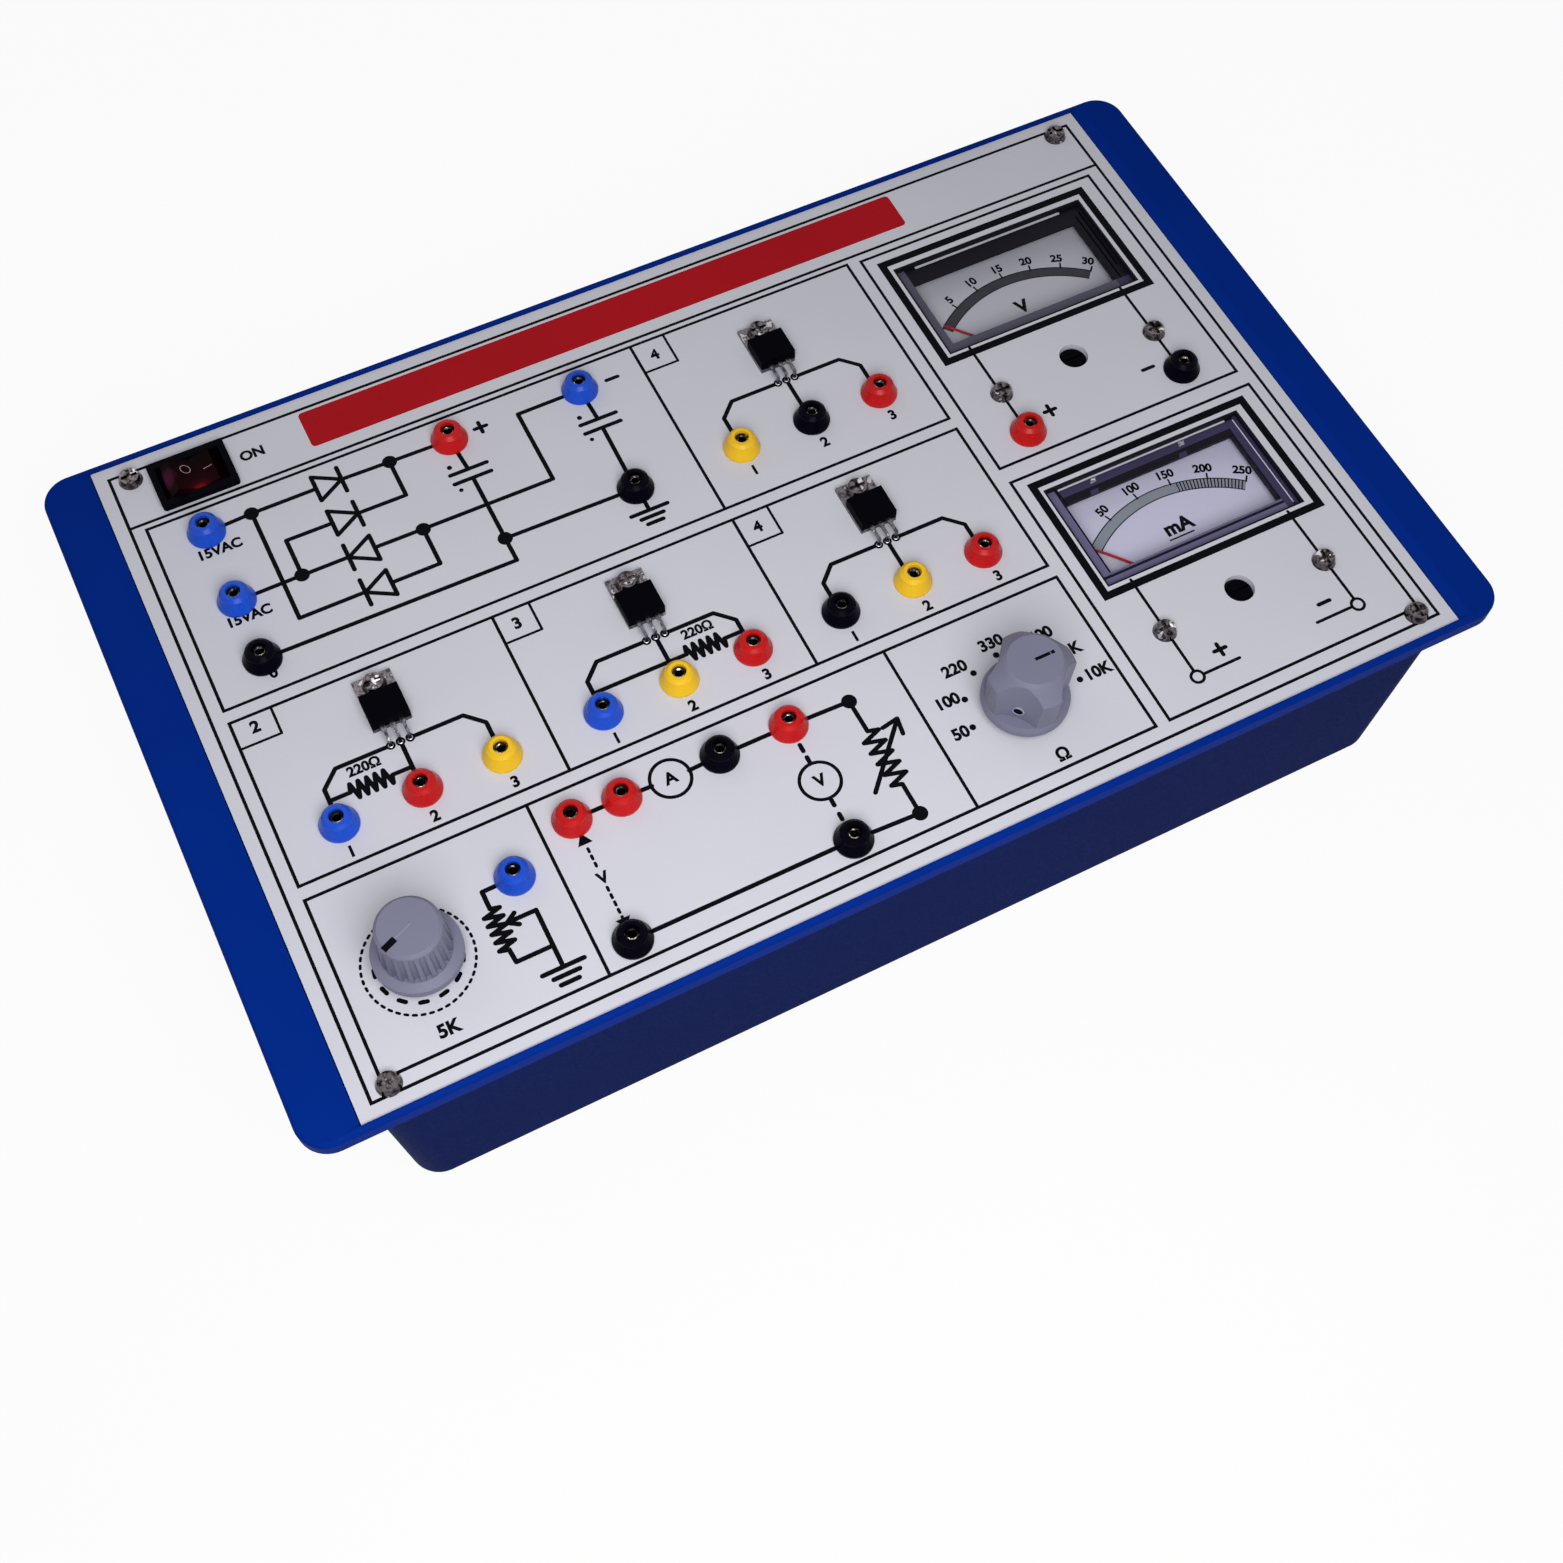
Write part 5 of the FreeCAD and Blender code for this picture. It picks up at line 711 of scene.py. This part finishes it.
# Numbers, units and signs on the panel
LABELS = (
    ("on", "ON", -109.6, 86.0, 3.0), ("section_2", "2", -136.9, 7.7, 3.3),
    ("section_3", "3", -67.4, 6.9, 3.3), ("section_4", "4", 0.4, 69.5, 3.3),
    ("section_5", "4", 0.6, 6.4, 3.3), ("feed_a", "15VAC", -127.4, 61.0, 2.9),
    ("feed_b", "15VAC", -127.4, 38.6, 2.9), ("feed_zero", "0", -127.6, 20.2, 2.9),
    ("ohms_a", "220Ω", -117.0, -14.3, 2.7), ("ohms_b", "220Ω", -27.2, -14.9, 2.7),
    ("amps", "A", -51.3, -50.1, 3.2), ("volts", "V", -18.8, -66.8, 3.2),
    ("out_volts", "V", -77.0, -67.0, 3.0), ("pot_value", "5K", -124.0, -85.7, 3.3),
    ("load_50", "50", 18.5, -70.5, 3.2), ("load_100", "100", 19.8, -61.3, 3.2),
    ("load_220", "220", 26.0, -53.8, 3.2), ("load_330", "330", 38.0, -51.2, 3.2),
    ("load_500", "500", 50.5, -54.6, 3.2), ("load_1k", "1K", 55.5, -61.8, 3.2),
    ("load_10k", "10K", 58.3, -70.2, 3.2), ("load_unit", "Ω", 38.4, -86.8, 3.4),
)
for name, text, x, y, height in LABELS:
    word(f"mark_{name}", text, x, y, height)
pins = 0
for row in (("yellow1", "black3", "red2"), ("blue4", "red3", "yellow2"),
            ("blue5", "yellow3", "red4"), ("black4", "yellow4", "red5")):
    for number, key in enumerate(row):
        pins += 1
        x, y = SOCKET[key]
        word(f"mark_pin_{pins}", str(number + 1), x, y - 8.0, 3.0)

# Solder rings where the regulators' leads pass the panel
rings = bmesh.new()
for x, y in REGULATOR_HOLES:
    for k in (-1, 0, 1):
        lathe(rings, x + LEAD_PITCH * k, y, PANEL,
              ((0.5, 0.02), (0.72, 0.02), (0.68, 0.12), (0.54, 0.2)))
place_mesh(rings, "lead_rings", "tinned", "housing")


# Painted pointers in the knobs' grooves
def pointer(name, body, axis, angle, top, width, *stretches):
    """Bars along an angle, sunk in a knob's top."""
    mesh = bmesh.new()
    for start, end in stretches:
        slab(mesh, bar_outline(axis, angle, start, end, width), top - POINTER_DEPTH * MM,
             top - POINTER_SINK * MM)
    place_mesh(mesh, name, "ink", body)


pointer("pot_pointer", "pot_control", POT_AXIS, POT_POINTER, POT_TOP, 1.6, (3.95, 7.45))
seam = Ink(POT_TOP)
seam.line(*[along(POT_AXIS, reach, POT_POINTER) for reach in (-0.9, 3.7)], width=SEAM)
seam.place("pot_pointer_seam", "scratch", "pot_control")
pointer("load_pointer", "load_control", LOAD_AXIS, 0, LOAD_TOP, 0.8, (0.05, 4.1), (4.5, 5.35))

# The set screw's hole in the load knob's side: a black disc paints the shade inside the hole, and a
# pale ring paints a highlight on its rim
side = (Matrix.Translation((LOAD_AXIS[0] * MM, LOAD_AXIS[1] * MM, LOAD_TOP - 12.2 * MM))
        @ Matrix.Rotation(math.radians(222), 4, "Z") @ Matrix.Rotation(math.radians(90), 4, "Y")
        @ Matrix.Translation((0, 0, 8.0 * MM)))
for name, material, profile in (
        ("load_screw_rim", "scratch",
         ((1.2, -0.3), (1.6, -0.3), (1.6, 0.2), (1.4, 0.3), (1.2, 0.2))),
        ("load_screw_hole", "ink", ((0.05, -0.3), (1.22, -0.3), (1.22, 0.16), (0.05, 0.12)))):
    screw = bmesh.new()
    lathe(screw, 0, 0, 0, profile, 24)
    bmesh.ops.transform(screw, matrix=side, verts=screw.verts)
    place_mesh(screw, name, material, "load_control")

# Rims in the sockets' mouths, whose pale patches are painted glints
rims = bmesh.new()
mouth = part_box("socket_contacts")[1].z
for x, y in SOCKET.values():
    lathe(rims, x, y, mouth, ((1.22, 0.02), (1.82, 0.02), (1.82, 0.1), (1.34, 0.3)), 28)
place_mesh(rims, "socket_rims", "rim", "housing")

# Signs on the rocker, laid on its two tilted faces
tilt = (Matrix.Translation([part * MM for part in ROCKER_AXIS])
        @ Matrix.Rotation(math.radians(ROCKER_REST), 4, "Y"))
for name, side in (("rocker_off_sign", -1), ("rocker_on_sign", 1)):
    sign = Ink(0)
    if side < 0:
        sign.arc(-1.9, 1.6, 1.22, 1.22 + ROCKER_SIGN, steps=32)
    else:
        sign.line((2.8, -0.1), (5.1, -0.1), width=ROCKER_SIGN)
    lean = Matrix.Rotation(-side * ROCKER_SLOPE, 4, "Y")
    spot = Matrix.Translation((0, 0, ROCKER_FACE_RISE * MM))
    bmesh.ops.transform(sign.mesh, matrix=tilt @ spot @ lean, verts=sign.mesh.verts)
    sign.place(name, "mark", "rocker")

# Meter dials
SCALES = {
    "voltmeter": (("0", "5", "10", "15", "20", "25", "30"), "V", 26.2, 35.0, 40),
    "ammeter": (("0", "50", "100", "150", "200", "250"), "mA", 27.0, 36.8, 38),
}
for meter, (numbers, unit, unit_level, inner, half) in SCALES.items():
    pivot = x, y = PIVOTS[meter]
    band = Ink(DIAL)
    band.arc(x, y, inner, inner + BAND, 90 - half, 90 + half, 60)
    band.place(f"{meter}_band", "band" if meter == "voltmeter" else "pale_band")
    marks = Ink(MARKS)
    for radius in (inner, inner + BAND):
        marks.arc(x, y, radius - BAND_LINE, radius + BAND_LINE, 90 - half, 90 + half, 60)
    swings = [half - 2 * half * k / (len(numbers) - 1) for k in range(len(numbers))]
    for swing in swings:
        marks.line(*[along(pivot, inner + reach, 90 + swing) for reach in (2.8, 4.6)], width=0.5)
    if meter == "ammeter":
        for k in range(20):
            marks.line(*[along(pivot, inner + reach, 80 - 28 * k / 20) for reach in (0, BAND)],
                       width=0.34)
        marks.line((x - 4.4, y + 23.9), (x + 3.0, y + 23.9), width=0.45)
    marks.place(f"{meter}_marks", "ink")
    for k, (number, swing) in enumerate(zip(numbers, swings)):
        place = along(pivot, inner + NUMBER_GAP, 90 + NUMBER_SPREAD * swing)
        word(f"{meter}_number_{k}", number, *place, 2.5, MARKS, turn=swing * NUMBER_LEAN)
    word(f"{meter}_unit", unit, x, y + unit_level, 4.2, MARKS)

# Painted tips of the needles, over the bands' ends
for meter, (x, y) in PIVOTS.items():
    low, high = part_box(f"{meter}_needle")
    reach = (x * MM - low.x) / MM / math.sin(math.radians(NEEDLE_REST)) - NEEDLE_CORNER
    tip = bmesh.new()
    slab(tip, bar_outline((x, y), 90 + NEEDLE_REST, reach - 0.3, reach + NEEDLE_TIPS[meter], 0.6),
         low.z + 0.32 * MM, low.z + 0.58 * MM)
    place_mesh(tip, f"{meter}_needle_tip", "needle", f"{meter}_hand")

# Meter windows: black sheets on the walls of the panel's openings, painted shade
for meter, (x, y) in WINDOWS.items():
    lining = bmesh.new()
    low, high = COVER + LIFT, PANEL - LIFT
    outline = ((*WINDOW_HALF, low), (*WINDOW_HALF, high), (*SHADE_SHEET_HALF, high), (*SHADE_SHEET_HALF, low))
    loops = [[lining.verts.new(((x + sx * a) * MM, (y + sy * b) * MM, z)) for a, b, z in outline]
             for sx, sy in ((1, -1), (1, 1), (-1, 1), (-1, -1))]
    for k in range(4):
        here, nxt = loops[k], loops[(k + 1) % 4]
        for i in range(4):
            j = (i + 1) % 4
            lining.faces.new((here[i], nxt[i], nxt[j], here[j]))
    bmesh.ops.recalc_face_normals(lining, faces=lining.faces)
    place_mesh(lining, f"{meter}_lining", "lining", "housing")

# Strips laid on the meter covers, from the window's middle: left, front, right, back. The black
# ones are painted shade over the bezel and the window's walls; the pale ones and the voltmeter's
# thin violet lines are painted reflections; the sills are grey bars along the front, with painted
# shade in their strips on the left.
COVER_STRIPS = {
    "voltmeter_edge": ("lining", ((-27.1, 10.1, 25.8, 15.4), (25.8, -12.6, 30.0, 15.4))),
    "voltmeter_ledge": ("glint", ((-23.6, 15.5, 23.8, 16.2),)),
    "voltmeter_sill": ("sill", ((-30.0, -16.2, 25.8, -12.6), (-30.0, -12.6, -27.1, 16.2))),
    "voltmeter_seams": ("violet", ((27.3, -12.4, 27.7, 12.6), (28.9, -8.0, 29.3, 13.6),
                                   (25.8, -16.2, 30.0, -12.6))),
    "ammeter_edge": ("lining", ((-26.0, 11.0, 26.6, 13.2), (-30.0, -13.7, 26.6, -13.1),
                                (-27.0, -12.4, -26.6, 11.0))),
    "ammeter_inner": ("violet", ((-26.0, 13.2, 26.6, 15.6), (26.6, -16.2, 28.6, 15.6),
                                 (29.0, -16.2, 30.0, 16.2))),
    "ammeter_ledge": ("glint", ((-26.0, 15.7, 26.6, 16.2), (28.65, -14.6, 28.95, 15.4))),
    "ammeter_sill": ("pale_violet", ((-30.0, -16.2, 26.6, -13.8), (-30.0, -12.9, -27.1, 16.2),
                                     (-27.0, -13.0, 26.5, -12.4))),
}
for name, (material, strips) in COVER_STRIPS.items():
    x, y = WINDOWS[name.split("_")[0]]
    strip_mesh = bmesh.new()
    for x0, y0, x1, y1 in strips:
        slab(strip_mesh, [(x + x0, y + y0), (x + x1, y + y0), (x + x1, y + y1), (x + x0, y + y1)],
             COVER + LIFT, COVER + STRIP_HEIGHT * MM)
    place_mesh(strip_mesh, name, material, "housing")

# Clips seen along the back of the ammeter's window: a bright top whose pale patches are painted
# glints, and a dark foot
x, y = WINDOWS["ammeter"]
for name, material, low, high, reach in (("ammeter_clips", "clip", 13.9, 15.4, 0.9),
                                         ("ammeter_clip_feet", "violet", 10.6, 12.0, 1.2)):
    clips = bmesh.new()
    for at in (-16.2, 11.6):
        middle = x + at + CLIP_LEAN * (low - 14.0)
        slab(clips, [(middle - reach, y + low), (middle + reach, y + low),
                     (middle + reach + CLIP_OFFSET, y + high),
                     (middle - reach + CLIP_OFFSET, y + high)],
             COVER + STRIP_HEIGHT * MM, COVER + CLIP_HEIGHT * MM)
    place_mesh(clips, name, material, "housing")

# Camera
camera = bpy.data.objects.new("camera", bpy.data.cameras.new("camera"))
camera.data.lens = CAMERA_LENS
camera.data.sensor_width = 36
camera.data.clip_start = 0.01
turned = Matrix(CAMERA_AXES).transposed().to_4x4()
camera.matrix_world = Matrix.Translation(CAMERA_PLACE) @ turned
bpy.context.scene.collection.objects.link(camera)
bpy.context.scene.camera = camera

# Floor
floor_mesh = bpy.data.meshes.new("floor")
shape = bmesh.new()
bmesh.ops.create_grid(shape, x_segments=8, y_segments=8, size=4)
shape.to_mesh(floor_mesh)
shape.free()
floor = bpy.data.objects.new("floor", floor_mesh)
bpy.context.scene.collection.objects.link(floor)


def camera_white(tree):
    """Factor that is 1 for what the camera, a reflection or clear plastic sees."""
    path = tree.nodes.new("ShaderNodeLightPath")
    first = tree.nodes.new("ShaderNodeMath")
    first.operation = "MAXIMUM"
    second = tree.nodes.new("ShaderNodeMath")
    second.operation = "MAXIMUM"
    tree.links.new(path.outputs["Is Camera Ray"], first.inputs[0])
    tree.links.new(path.outputs["Is Glossy Ray"], first.inputs[1])
    tree.links.new(first.outputs["Value"], second.inputs[0])
    tree.links.new(path.outputs["Is Transmission Ray"], second.inputs[1])
    return second.outputs["Value"]


paint, tree, shader = new_material("floor_white")
shader.inputs["Base Color"].default_value = (0.8, 0.8, 0.8, 1)
shader.inputs["Roughness"].default_value = 0.9
glow = tree.nodes.new("ShaderNodeEmission")
mix = tree.nodes.new("ShaderNodeMixShader")
share = tree.nodes.new("ShaderNodeMath")
share.operation = "MULTIPLY"
share.inputs[1].default_value = 0.93
tree.links.new(camera_white(tree), share.inputs[0])
tree.links.new(share.outputs["Value"], mix.inputs["Fac"])
tree.links.new(shader.outputs["BSDF"], mix.inputs[1])
tree.links.new(glow.outputs["Emission"], mix.inputs[2])
tree.links.new(mix.outputs["Shader"], tree.nodes["Material Output"].inputs["Surface"])
floor_mesh.materials.append(paint)

# World
world = bpy.data.worlds.new("studio")
bpy.context.scene.world = world
world.use_nodes = True
tree = world.node_tree
sky = tree.nodes["Background"]
sky.inputs["Color"].default_value = (1, 1, 1, 1)
level = tree.nodes.new("ShaderNodeMapRange")
level.inputs["To Min"].default_value = 0.2
level.inputs["To Max"].default_value = 1.0
tree.links.new(camera_white(tree), level.inputs["Value"])
tree.links.new(level.outputs["Result"], sky.inputs["Strength"])


# Lamps
def lamp(name, place, target, size, power):
    """A square area lamp aimed at a point."""
    data = bpy.data.lights.new(name, "AREA")
    data.shape = "SQUARE"
    data.size = size
    data.energy = power
    obj = bpy.data.objects.new(name, data)
    obj.location = place
    aim = Vector(target) - Vector(place)
    obj.rotation_euler = aim.to_track_quat("-Z", "Y").to_euler()
    obj.visible_camera = False
    bpy.context.scene.collection.objects.link(obj)


lamp("key", (-0.10, -0.29, 0.43), (-0.02, -0.02, 0.05), 0.32, 2.0)
lamp("fill", (-0.3, 0.65, 0.8), (0.0, 0.0, 0.05), 0.7, 0.9)

bpy.context.scene.view_settings.view_transform = "Standard"
